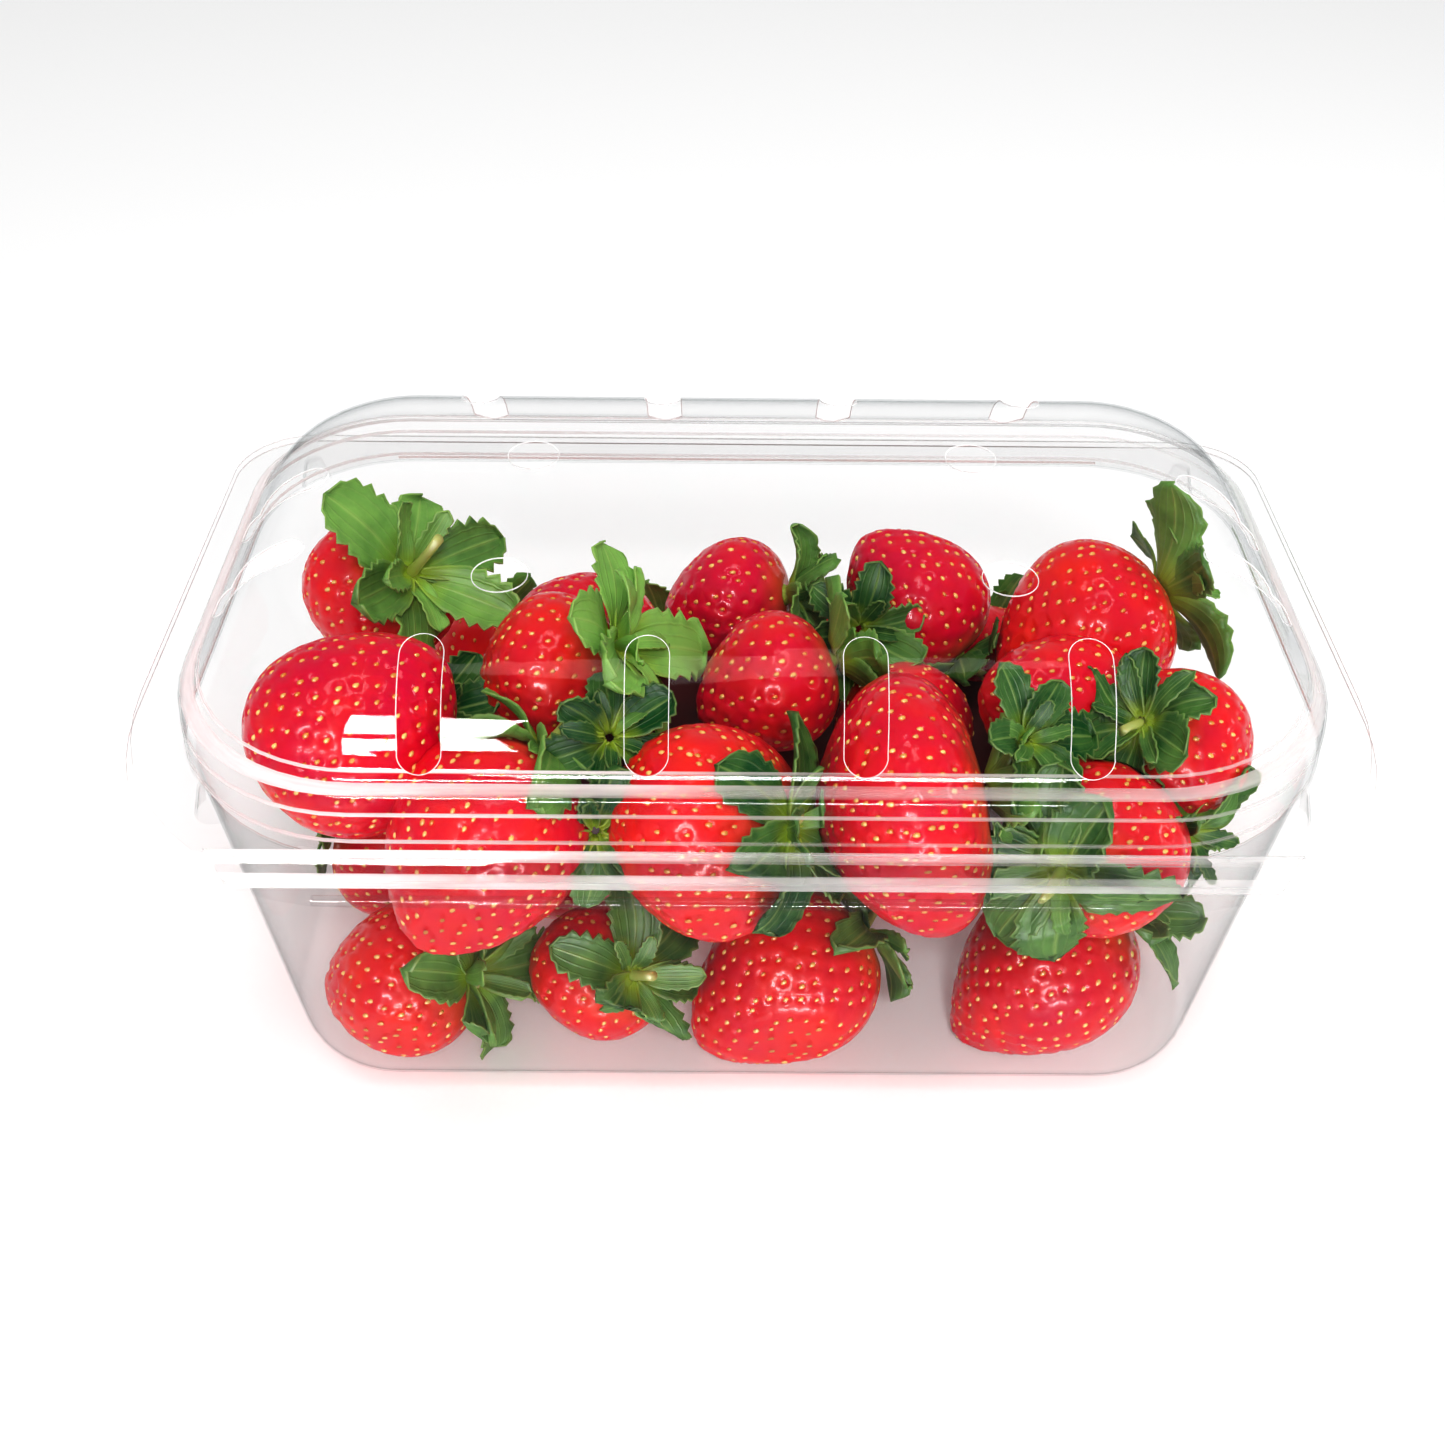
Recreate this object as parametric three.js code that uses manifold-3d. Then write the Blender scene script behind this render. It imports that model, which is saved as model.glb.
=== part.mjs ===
// Punnet of strawberries: a thin clear tray, its hinged and vented lid, and the heap of berries inside.
// Millimetres, +Z up. The origin lies on the floor under the middle of the pack, and the hinge runs
// along the front edge, at -Y.
import * as THREE from 'three';
import { mergeVertices } from 'three/addons/utils/BufferGeometryUtils.js';
import Module from 'manifold-3d';

// The pack.
const PACK_LENGTH = 190;
const PACK_DEPTH = 118;
const WALL = 0.6;
const GAP = 0.3;
const FRONT_CORNER = 39;
const BACK_CORNER = 13;
const LID_FRONT_CORNER = 43;
const CORNER_STEPS = 5;

// The tray: the height of its rim and how far its walls stand in from the edge of the rim.
const TRAY_HEIGHT = 65;
const TRAY_TOP_INSET = 9.4;
const TRAY_BASE_INSET = 16;
const TRAY_FILLET = 6;
const TRAY_FILLET_STEPS = 3;

// The lid: a low dome whose wall rises in small ledges to a round shoulder and a flat top.
const LID_RISE = 24.7;
const LID_INSET = 8.9;
const LID_LEDGES = [
  { inset: LID_INSET, height: 0 },
  { inset: 9.1, height: 2.5 },
  { inset: 9.4, height: 7.4 },
  { inset: 9.8, height: 10.4 },
  { inset: 12.2, height: 11.3 },
  { inset: 13.2, height: 12.4 },
];
const SHOULDER_RADIUS = 18.4;
const SHOULDER_LEAN = THREE.MathUtils.degToRad(68);
const SHOULDER_STEPS = 4;
const TOP_INSET = 31.3;

// The hinge band joins the lid to the front edge of the tray's rim. It carries a tall rib and a low one.
const BAND_DEPTH = 9;
const BAND_HALF_LENGTH = 77;
const BAND_END_TAPER = 7;
const BAND_STEPS = 12;
const TALL_RIB = { from: 9.2, to: 5.4, height: 1.8 };
const LOW_RIB = { from: 3.6, to: 1, height: 0.7 };
const FOLD_RADIUS = 0.75;

// Vents punched in the lid.
const HOLE_RADIUS = 4;
const HOLES = [[35, 14.5], [37, -17.5]];
const SLOT_WIDTH = 6;
const SLOT_INNER = { inset: 28, height: 24.4 };
const SLOT_OUTER = { inset: 13.5, height: 11.2 };
const LONG_SIDE_SLOTS = [15, 46];
const SHORT_SIDE_SLOTS = [8.5, -11];

// Small lugs on the corners of the dome keep stacked lids apart.
const LUG_RADIUS = 3;
const LUG_TOP_RADIUS = 1.6;
const LUG_HEIGHT = 5;
const LUG_SIDES = 6;

// The berries, clear of the plastic by BERRY_CLEARANCE. Each row is a berry: the place of its widest
// part, its width and length, the compass angle and the rise of the way its crown points, the length of
// its leaves, or 0 for a berry whose crown is hidden, how far the leaves stand up, and the taper of its
// side, low for a blunt tip and high for a pointed one. Angles are in degrees.
const BERRY_CLEARANCE = 0.5;
const BERRIES = [
  [-64.6, 20, 58, 27, 30, -41, 43, 18, 8, 0.55],
  [-28.5, 17, 48.5, 28, 28, 23, -50, 0, 0, 0.55],
  [-31.9, -3, 59.3, 26.5, 28, -4, 32, 19, 16, 0.6],
  [-2.2, 25, 53, 24, 24, -10, 15, 14, 20, 0.6],
  [4.3, -1, 56, 24, 25, 13, 17, 13, 8, 0.55],
  [30.7, 23, 53.5, 26, 28, -40, -34, 12, 0, 0.6],
  [59.7, 14, 55.7, 31, 33, 21, 21, 19, 16, 0.6],
  [69.1, -14, 54.5, 24, 28, -153, 42, 14, 10, 0.55],
  [-63, -20, 60, 32, 34, -157, -34, 0, 0, 0.5],
  [-40.9, -31, 50.3, 32, 36, 50, 31, 16, -14, 0.5],
  [-6.3, -31, 50.9, 34, 33, -23, 24, 16, 2, 0.55],
  [25.2, -29, 54.5, 41.5, 26.5, 3, 13, 17, 26, 0.42],
  [54.1, -31, 47.7, 28, 30, -129, 22, 18, 0, 0.55],
  [-57.7, -30, 13.5, 27, 28, -14, 19, 17, 5, 0.55],
  [-25, -30, 15.2, 24, 27, -48, 39, 15, 8, 0.55],
  [7.9, -30, 14.2, 29, 35, 24, 25, 14, -5, 0.55],
  [52.4, -28, 14.1, 29.5, 39, 14, 48, 14, 10, 0.72],
  [52, -6, 54, 26, 30, 17, -24, 0, 0, 0.55],
  [27, 0, 44, 25, 28, 75, 15, 0, 0, 0.55],
  [-57, 25, 15, 26, 30, 100, 35, 15, 5, 0.55],
  [-27, 27, 14, 25, 28, 60, 25, 0, 0, 0.55],
  [2, 27, 14, 26, 30, 120, 20, 0, 0, 0.55],
  [30, 27, 15, 25, 28, 80, 40, 0, 0, 0.55],
  [58, 24, 15, 27, 31, 60, 40, 15, 5, 0.55],
  [-64, -2, 14, 25, 28, 170, 30, 0, 0, 0.55],
  [-33, -2, 14, 25, 27, 200, 10, 0, 0, 0.55],
  [0, -1, 14, 25, 27, 20, 10, 0, 0, 0.55],
  [32, 4, 14, 24, 27, 190, 10, 0, 0, 0.55],
  [64, -1, 14, 25, 28, 10, 30, 0, 0, 0.55],
  [-72, 2, 37, 25, 28, -160, 10, 0, 0, 0.55],
  [-48, 29, 34, 24, 27, 100, 10, 0, 0, 0.55],
  [-16, 28, 33, 24, 27, 85, 0, 13, 0, 0.55],
  [15, 29, 33, 24, 27, 95, 0, 0, 0, 0.55],
  [46, 28, 35, 24, 27, 80, 5, 13, 0, 0.55],
  [72, 2, 33, 25, 28, 0, 5, 13, 0, 0.55],
];
const BERRY_SIDES = 10;
const BERRY_ROWS = 6;
const BERRY_WAIST = 0.57;
const BERRY_SHOULDER = 1.35;
const LEAVES_PER_CROWN = 6;
const LEAF_ROWS = 4;
const LEAF_BREADTH = 0.66;
const LEAF_FOOT = 0.25;
const LEAF_SIDES = 4;
const LEAF_THICKNESS = 0.7;
const CORE = { halfLength: 70, front: -26, back: 30, bottom: 9, top: 50, corner: 16 };

const PET = { color: 0xf4f4f8, roughness: 0.08, metalness: 0, transparent: true, opacity: 0.3 };
const BERRY_RED = { color: 0xc8141c, roughness: 0.3, metalness: 0 };

const HALF_LENGTH = PACK_LENGTH / 2;
const HALF_DEPTH = PACK_DEPTH / 2;
const LID_FLOOR = TRAY_HEIGHT + GAP;
const MERGE_DISTANCE = 1e-4;
const SLIVER = 0.02;

const wasm = await Module();
wasm.setup();

// A closed geometry becomes a solid: shared vertices are merged and the empty triangles at poles go.
function solidOf(geometry) {
  const bare = geometry.clone();
  bare.deleteAttribute('normal');
  bare.deleteAttribute('uv');
  const merged = mergeVertices(bare, MERGE_DISTANCE);
  const corners = merged.index.array;
  const kept = [];
  for (let i = 0; i < corners.length; i += 3) {
    const [a, b, c] = corners.slice(i, i + 3);
    if (a !== b && b !== c && c !== a) kept.push(a, b, c);
  }
  return new wasm.Manifold(new wasm.Mesh({
    numProp: 3,
    vertProperties: new Float32Array(merged.attributes.position.array),
    triVerts: new Uint32Array(kept),
  }));
}

function meshOf(name, solid, finish) {
  const { vertProperties, triVerts } = solid.getMesh();
  const geometry = new THREE.BufferGeometry();
  geometry.setAttribute('position', new THREE.BufferAttribute(new Float32Array(vertProperties), 3));
  geometry.setIndex(new THREE.BufferAttribute(new Uint32Array(triVerts), 1));
  geometry.computeVertexNormals();
  const mesh = new THREE.Mesh(geometry, new THREE.MeshStandardMaterial(finish));
  mesh.name = name;
  return mesh;
}

// The plan of a level: a rectangle with round corners, the front pair and the back pair of two radii.
function planPoint(level, column) {
  const corner = Math.floor(column / (CORNER_STEPS + 1)) % 4;
  const step = column % (CORNER_STEPS + 1);
  const atFront = corner === 0 || corner === 3;
  const radius = atFront ? level.frontRadius : level.backRadius;
  const angle = (corner - 1 + step / CORNER_STEPS) * Math.PI / 2;
  const sideX = corner === 0 || corner === 1 ? 1 : -1;
  const middleX = sideX * (level.halfX - radius);
  const middleY = atFront ? level.front + radius : level.back - radius;
  return [middleX + radius * Math.cos(angle), middleY + radius * Math.sin(angle)];
}

// A stack of levels, closed over the middle at its bottom and its top. The lathe gives the grid of
// faces, with one more column at each corner than its arc has steps, so the straight sides stay plain.
function loft(levels) {
  const columns = 4 * (CORNER_STEPS + 1);
  const rows = [{ ...levels[0], closed: true }, ...levels, { ...levels.at(-1), closed: true }];
  const outline = rows.map((row) => new THREE.Vector2(1, row.height));
  const geometry = new THREE.LatheGeometry(outline, columns);
  const position = geometry.attributes.position;
  for (let i = 0; i < position.count; i += 1) {
    const row = rows[i % rows.length];
    const column = Math.floor(i / rows.length) % columns;
    const [x, y] = row.closed ? [0, 0] : planPoint(row, column);
    position.setXYZ(i, x, y, row.height);
  }
  return solidOf(geometry);
}

// A profile is a list of insets from the edge of the rim and heights. This moves it in by the wall.
function thinned(profile, thickness) {
  return profile.map((point, i) => {
    const before = profile[Math.max(i - 1, 0)];
    const after = profile[Math.min(i + 1, profile.length - 1)];
    const run = after.inset - before.inset;
    const rise = after.height - before.height;
    const length = Math.hypot(run, rise);
    return {
      inset: point.inset + thickness * rise / length,
      height: point.height - thickness * run / length,
    };
  });
}

function trayLevel({ inset, height }) {
  return {
    height,
    halfX: HALF_LENGTH - inset,
    front: -HALF_DEPTH + inset,
    back: HALF_DEPTH - inset,
    frontRadius: 31 - 1.6 * (inset - TRAY_TOP_INSET),
    backRadius: 24 - 0.8 * (inset - TRAY_TOP_INSET),
  };
}

function lidLevel({ inset, height }) {
  return {
    height: LID_FLOOR + height,
    halfX: HALF_LENGTH - inset,
    front: -HALF_DEPTH + inset,
    back: HALF_DEPTH - inset,
    frontRadius: 30 - 0.65 * (inset - LID_INSET),
    backRadius: 24 - 0.6 * (inset - LID_INSET),
  };
}

// The outside of the tray from its base up: a fillet, then a straight wall that leans out.
function trayProfile() {
  const profile = [];
  for (let i = 0; i <= TRAY_FILLET_STEPS; i += 1) {
    const angle = i / TRAY_FILLET_STEPS * Math.PI / 2;
    profile.push({
      inset: TRAY_BASE_INSET + TRAY_FILLET * (1 - Math.sin(angle)),
      height: TRAY_FILLET * (1 - Math.cos(angle)),
    });
  }
  profile.push({ inset: TRAY_TOP_INSET, height: TRAY_HEIGHT });
  return profile;
}

// The outside of the dome: the ledges, then the shoulder's arc up to the flat top.
function lidProfile() {
  const profile = [...LID_LEDGES];
  for (let i = 0; i <= SHOULDER_STEPS; i += 1) {
    const angle = SHOULDER_LEAN * (1 - i / SHOULDER_STEPS);
    profile.push({
      inset: TOP_INSET - SHOULDER_RADIUS * Math.sin(angle),
      height: LID_RISE - SHOULDER_RADIUS * (1 - Math.cos(angle)),
    });
  }
  return profile;
}

// A flat plate with the outline of the rim.
function rimPlate(bottom, frontRadius) {
  const outline = {
    halfX: HALF_LENGTH, front: -HALF_DEPTH, back: HALF_DEPTH, frontRadius, backRadius: BACK_CORNER,
  };
  return loft([{ ...outline, height: bottom }, { ...outline, height: bottom + WALL }]);
}

function box(width, depth, height, x, y, z) {
  return solidOf(new THREE.BoxGeometry(width, depth, height)).translate([x, y, z]);
}

// A rod along X with its middle at the given place.
function rod(radius, length, sides, y, z) {
  const geometry = new THREE.CylinderGeometry(radius, radius, length, sides);
  geometry.rotateZ(Math.PI / 2);
  geometry.translate(0, y, z);
  return solidOf(geometry);
}

function buildTray() {
  const profile = trayProfile();
  const outside = loft(profile.map(trayLevel));
  const lining = thinned(profile, WALL);
  lining[0].height = WALL;
  lining.at(-1).height = TRAY_HEIGHT;
  lining.push({ ...lining.at(-1), height: TRAY_HEIGHT + 1 });
  const inside = loft(lining.map(trayLevel));
  const fold = rod(FOLD_RADIUS, 2 * (BAND_HALF_LENGTH - BAND_END_TAPER) - FRONT_CORNER / 2, 8,
    -HALF_DEPTH + FOLD_RADIUS, TRAY_HEIGHT);
  return outside.add(rimPlate(TRAY_HEIGHT - WALL, FRONT_CORNER)).add(fold).subtract(inside);
}

// How far the band's sheet is lifted by a rib at a given inset from the front edge.
function ribLift(rib, inset) {
  const along = (rib.from - inset) / (rib.from - rib.to);
  return along > 0 && along < 1 ? rib.height * Math.sin(Math.PI * along) : 0;
}

// The hinge band: a ribbed sheet drawn from the side and run along X, with its ends cut aslant.
function buildBand() {
  const start = BAND_DEPTH + WALL / 2;
  const end = 2 * FOLD_RADIUS + GAP;
  const upper = [];
  for (let i = 0; i <= BAND_STEPS; i += 1) {
    const inset = start + (end - start) * i / BAND_STEPS;
    const lift = ribLift(TALL_RIB, inset) + ribLift(LOW_RIB, inset);
    upper.push(new THREE.Vector2(inset, lift + WALL));
  }
  const lower = upper.map((point) => new THREE.Vector2(point.x, point.y - WALL)).reverse();
  const sheet = new THREE.ExtrudeGeometry(new THREE.Shape([...upper, ...lower]), {
    depth: 2 * BAND_HALF_LENGTH, bevelEnabled: false,
  });
  sheet.rotateX(Math.PI / 2);
  sheet.rotateZ(Math.PI / 2);
  sheet.translate(-BAND_HALF_LENGTH, -HALF_DEPTH, LID_FLOOR);
  let band = solidOf(sheet);
  for (const side of [-1, 1]) {
    const corner = new THREE.Shape([
      new THREE.Vector2(side * (BAND_HALF_LENGTH - BAND_END_TAPER), -HALF_DEPTH - 1),
      new THREE.Vector2(side * (BAND_HALF_LENGTH + 1), -HALF_DEPTH - 1),
      new THREE.Vector2(side * (BAND_HALF_LENGTH + 1), -HALF_DEPTH + BAND_DEPTH),
      new THREE.Vector2(side * BAND_HALF_LENGTH, -HALF_DEPTH + BAND_DEPTH),
    ]);
    const cutter = new THREE.ExtrudeGeometry(corner, { depth: 10, bevelEnabled: false });
    cutter.translate(0, 0, LID_FLOOR - 5);
    band = band.subtract(solidOf(cutter));
  }
  return band;
}

// One punch: a slot with round ends that runs from the flat top over the shoulder and down the wall.
// It is drawn flat, with its inner end at the origin, and turned to stand on the slope.
function slotPunch() {
  const run = SLOT_INNER.inset - SLOT_OUTER.inset;
  const drop = SLOT_INNER.height - SLOT_OUTER.height;
  const length = Math.hypot(run, drop) - SLOT_WIDTH;
  const radius = SLOT_WIDTH / 2;
  const outline = new THREE.Shape();
  outline.absarc(0, -radius, radius, 0, Math.PI, false);
  outline.absarc(0, -radius - length, radius, Math.PI, 2 * Math.PI, false);
  const geometry = new THREE.ExtrudeGeometry(outline, { depth: 18, bevelEnabled: false, curveSegments: 5 });
  geometry.translate(0, 0, -6);
  geometry.rotateX(Math.atan2(drop, run));
  return solidOf(geometry);
}

// The punches stand round the dome: angle 0 is the front, and each turn goes to the next side.
function slotPunches() {
  const punch = slotPunch();
  const inner = LID_FLOOR + SLOT_INNER.height;
  const sideY = HALF_DEPTH - SLOT_INNER.inset;
  const sideX = HALF_LENGTH - SLOT_INNER.inset;
  const punches = [];
  for (const along of LONG_SIDE_SLOTS) {
    for (const x of [-along, along]) {
      punches.push(punch.translate([x, -sideY, inner]));
      punches.push(punch.rotate([0, 0, 180]).translate([x, sideY, inner]));
    }
  }
  for (const y of SHORT_SIDE_SLOTS) {
    punches.push(punch.rotate([0, 0, 90]).translate([sideX, y, inner]));
    punches.push(punch.rotate([0, 0, -90]).translate([-sideX, y, inner]));
  }
  return punches;
}

function holePunches() {
  const geometry = new THREE.CylinderGeometry(HOLE_RADIUS, HOLE_RADIUS, 8, 16);
  geometry.rotateX(Math.PI / 2);
  const punch = solidOf(geometry);
  return HOLES.flatMap(([x, y]) => [-x, x].map(
    (side) => punch.translate([side, y, LID_FLOOR + LID_RISE]),
  ));
}

// The lugs stand on the diagonals of the four corners, grown by margin for the outside of the sheet.
function lugs(margin) {
  const level = lidLevel(LID_LEDGES[0]);
  const height = LUG_HEIGHT - WALL + margin;
  const solids = [0, 1, 2, 3].map((corner) => {
    const edge = corner * (CORNER_STEPS + 1);
    const middles = [planPoint(level, edge + 2), planPoint(level, edge + 3)];
    const x = (middles[0][0] + middles[1][0]) / 2;
    const y = (middles[0][1] + middles[1][1]) / 2;
    const geometry = new THREE.CylinderGeometry(
      LUG_TOP_RADIUS - WALL + margin, LUG_RADIUS - WALL + margin, height, LUG_SIDES,
    );
    geometry.rotateX(Math.PI / 2);
    geometry.translate(x, y, LID_FLOOR + height / 2);
    return solidOf(geometry);
  });
  return wasm.Manifold.union(solids);
}

function buildLid() {
  const profile = lidProfile();
  const outside = loft(profile.map(lidLevel));
  const lining = thinned(profile, WALL);
  lining[0].height = 0;
  lining.unshift({ ...lining[0], height: -1 });
  const inside = loft(lining.map(lidLevel));
  const bandRoom = box(PACK_LENGTH, BAND_DEPTH, 4, 0, -HALF_DEPTH + BAND_DEPTH / 2, LID_FLOOR);
  const rim = rimPlate(LID_FLOOR, LID_FRONT_CORNER).subtract(bandRoom);
  const shell = outside.add(lugs(WALL)).add(rim).add(buildBand())
    .subtract(inside).subtract(lugs(0));
  return wasm.Manifold.difference([shell, ...slotPunches(), ...holePunches()]);
}

// The side of a berry, from its tip (0) to its crown (1): a cone with a round shoulder.
function berryRadius(along, taper) {
  return Math.sin(Math.PI * along ** BERRY_SHOULDER) ** taper;
}

function berryBody(width, length, taper) {
  const outline = [];
  for (let i = 0; i <= BERRY_ROWS; i += 1) {
    const along = i / BERRY_ROWS;
    const radius = i === 0 || i === BERRY_ROWS ? 0 : width / 2 * berryRadius(along, taper);
    outline.push(new THREE.Vector2(radius, (along - BERRY_WAIST) * length));
  }
  return new THREE.LatheGeometry(outline, BERRY_SIDES);
}

// A leaf is a four-sided ball drawn out along Y: an upper and a lower face with thin blunt edges.
// It widens from its foot, ends in a point, arches over and waves from side to side.
function leaf(length, width, arch, wave) {
  const geometry = new THREE.SphereGeometry(1, LEAF_SIDES, LEAF_ROWS, Math.PI / LEAF_SIDES);
  const position = geometry.attributes.position;
  for (let i = 0; i < position.count; i += 1) {
    const along = (position.getY(i) + 1) / 2;
    const across = position.getX(i) * width * Math.SQRT1_2 * (LEAF_FOOT + along);
    const through = position.getZ(i) * LEAF_THICKNESS * Math.SQRT1_2;
    const lift = arch * length * Math.sin(Math.PI * along * 0.8);
    const ripple = wave * width * Math.sin(2 * Math.PI * along);
    position.setXYZ(i, across, along * length, through + lift + ripple * Math.sign(across) * 0.5);
  }
  return geometry;
}

// The leaves fan out from the middle of the crown, and every second one is shorter and lies lower.
function crown(leafLength, lift, top, turn) {
  const leaves = [];
  for (let i = 0; i < LEAVES_PER_CROWN; i += 1) {
    const isLower = i % 2 === 1;
    const length = leafLength * (isLower ? 0.85 : 1);
    const geometry = leaf(length, length * LEAF_BREADTH, 0.16, isLower ? 0.1 : -0.1);
    geometry.rotateX(THREE.MathUtils.degToRad(lift + (isLower ? -7 : 7)));
    geometry.translate(0, 0.8, 0);
    geometry.rotateZ(turn + i * 2 * Math.PI / LEAVES_PER_CROWN);
    geometry.rotateX(-Math.PI / 2);
    geometry.translate(0, top - 1.8, 0);
    leaves.push(geometry);
  }
  return leaves;
}

function berry([x, y, z, width, length, compass, rise, leafLength, lift, taper], number) {
  const pieces = [berryBody(width, length, taper)];
  const top = (1 - BERRY_WAIST) * length;
  if (leafLength > 0) pieces.push(...crown(leafLength, lift, top, number));
  const heading = THREE.MathUtils.degToRad(compass);
  const tilt = THREE.MathUtils.degToRad(rise);
  const axis = new THREE.Vector3(
    Math.cos(tilt) * Math.cos(heading), Math.cos(tilt) * Math.sin(heading), Math.sin(tilt),
  );
  const turn = new THREE.Quaternion().setFromUnitVectors(new THREE.Vector3(0, 1, 0), axis);
  return pieces.map((piece) => solidOf(piece.applyQuaternion(turn).translate(x, y, z)));
}

// The room for berries: the inside of the tray and of the dome, drawn in by the clearance.
function berryRoom() {
  const inTray = thinned(trayProfile(), WALL + BERRY_CLEARANCE);
  inTray[0].height = WALL + BERRY_CLEARANCE;
  inTray.at(-1).height = TRAY_HEIGHT + GAP;
  const inLid = thinned(lidProfile(), WALL + BERRY_CLEARANCE);
  const narrow = Math.max(inTray.at(-1).inset, inLid[0].inset);
  inTray.at(-1).inset = narrow;
  inLid[0] = { inset: narrow, height: 0 };
  return loft(inTray.map(trayLevel)).add(loft(inLid.map(lidLevel)));
}

function buildBerries() {
  const plan = {
    halfX: CORE.halfLength,
    front: CORE.front,
    back: CORE.back,
    frontRadius: CORE.corner,
    backRadius: CORE.corner,
  };
  const core = loft([{ ...plan, height: CORE.bottom }, { ...plan, height: CORE.top }]);
  const heap = wasm.Manifold.union([core, ...BERRIES.flatMap(berry)]);
  const fitted = heap.intersect(berryRoom()).simplify(SLIVER);
  return fitted.decompose().reduce((largest, piece) => (piece.volume() > largest.volume() ? piece : largest));
}

const punnet = new THREE.Group();
punnet.add(meshOf('tray', buildTray(), PET));
punnet.add(meshOf('lid', buildLid(), PET));
punnet.add(meshOf('strawberries', buildBerries(), BERRY_RED));

export default punnet;
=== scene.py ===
# %% [markdown]
# # A punnet of strawberries
# A thin clear box with a hinged, vented lid holds a heap of ripe strawberries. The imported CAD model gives
# the frame: which body each piece rides on and the space that it may fill. Everything that shows is
# modelled here at true size. Lengths are written in millimetres, and each finished mesh is brought to
# metres once, at the end of its cell.

# %% Load the frame
import math
from collections import namedtuple

import bmesh
import bpy
import numpy as np
from mathutils import Matrix, Vector


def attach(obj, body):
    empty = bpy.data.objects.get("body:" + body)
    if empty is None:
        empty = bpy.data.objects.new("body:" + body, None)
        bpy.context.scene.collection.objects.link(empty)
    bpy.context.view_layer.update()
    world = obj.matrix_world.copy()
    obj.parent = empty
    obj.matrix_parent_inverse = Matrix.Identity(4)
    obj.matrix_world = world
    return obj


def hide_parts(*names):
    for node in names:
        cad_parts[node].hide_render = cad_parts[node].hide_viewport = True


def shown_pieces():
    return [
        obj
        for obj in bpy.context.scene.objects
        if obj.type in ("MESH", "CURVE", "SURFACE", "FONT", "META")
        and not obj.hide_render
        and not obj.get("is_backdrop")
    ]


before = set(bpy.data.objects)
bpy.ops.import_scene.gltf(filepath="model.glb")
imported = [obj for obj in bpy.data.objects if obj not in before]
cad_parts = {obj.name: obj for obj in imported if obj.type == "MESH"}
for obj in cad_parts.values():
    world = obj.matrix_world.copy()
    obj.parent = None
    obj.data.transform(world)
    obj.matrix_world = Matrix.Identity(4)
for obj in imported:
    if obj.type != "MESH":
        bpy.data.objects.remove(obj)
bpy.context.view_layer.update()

MM = 0.001

# %% [markdown]
# ## Camera
# The camera stands in front of the pack and looks down into it. Its place, its three turns and its focal
# length were found by fitting the outline of the rim, so they are plain numbers here. The turns are
# applied as a product of three rotations, which reads in the order: turn about the vertical, tip down,
# then roll about the view.

# %% Camera
IMAGE_WIDTH = 1445
FOCAL_PIXELS = 1546.07
SENSOR_WIDTH = 36
CAMERA_PLACE = (-5.60, -197.91, 224.14)
CAMERA_PITCH = math.radians(42.05)
CAMERA_YAW = math.radians(-0.3585)
CAMERA_ROLL = math.radians(0.6732)
NEAREST_SEEN = 10

camera = bpy.data.objects.new("camera", bpy.data.cameras.new("camera"))
camera.data.sensor_width = SENSOR_WIDTH
camera.data.lens = FOCAL_PIXELS / IMAGE_WIDTH * SENSOR_WIDTH
camera.data.clip_start = NEAREST_SEEN * MM
camera.matrix_world = (
    Matrix.Translation(Vector(CAMERA_PLACE) * MM)
    @ Matrix.Rotation(CAMERA_YAW, 4, "Z")
    @ Matrix.Rotation(math.pi / 2 - CAMERA_PITCH, 4, "X")
    @ Matrix.Rotation(CAMERA_ROLL, 4, "Z")
)
bpy.context.collection.objects.link(camera)
bpy.context.scene.camera = camera
print("lens in mm:", round(camera.data.lens, 2))

# %% [markdown]
# ## Helpers for materials
# Paint and fruit colours are easiest to judge as sRGB hex values, while a shader wants linear light, so one
# function turns the one into the other. One more function adds any node, sets what it is told and links it.
# Inputs go by name where the name is short, and by number elsewhere. In Map Range, 1 and 2 are the ends of
# the range that comes in, and 3 and 4 those of the range that goes out. In a colour Mix, 0 is the share of
# the second colour, and 6 and 7 are the two colours.

# %% Colour and node helpers


def linear(hex_colour):
    """An sRGB hex colour as linear red, green, blue and an alpha of 1."""
    parts = [int(hex_colour[i : i + 2], 16) / 255 for i in (1, 3, 5)]
    return (*[c / 12.92 if c <= 0.04045 else ((c + 0.055) / 1.055) ** 2.4 for c in parts], 1.0)


def add(tree, kind, inputs=None, **settings):
    """Adds a node. A value of inputs is a number, a colour or another node's output to link."""
    node = tree.nodes.new("ShaderNode" + kind)
    for name, value in settings.items():
        setattr(node, name, value)
    for key, value in (inputs or {}).items():
        if isinstance(value, bpy.types.NodeSocket):
            tree.links.new(value, node.inputs[key])
        else:
            node.inputs[key].default_value = value
    return node


def new_finish(name, sockets):
    """A material with a Principled shader whose sockets are set to the given values."""
    material = bpy.data.materials.new(name)
    material.use_nodes = True
    shader = material.node_tree.nodes["Principled BSDF"]
    for key, value in sockets.items():
        shader.inputs[key].default_value = value
    return material, material.node_tree, shader


print("linear crimson:", linear("#C0121C"))

# %% [markdown]
# ## Floor
# The pack stands on a white light table: a matt white sheet that glows a little, so it stays white all
# round. One flat face with a low emission gives that. It belongs to the studio and not to the pack, so it
# is a stage.

# %% Floor
FLOOR_SIZE = 6000
FLOOR_GLOW = 0.15

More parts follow.
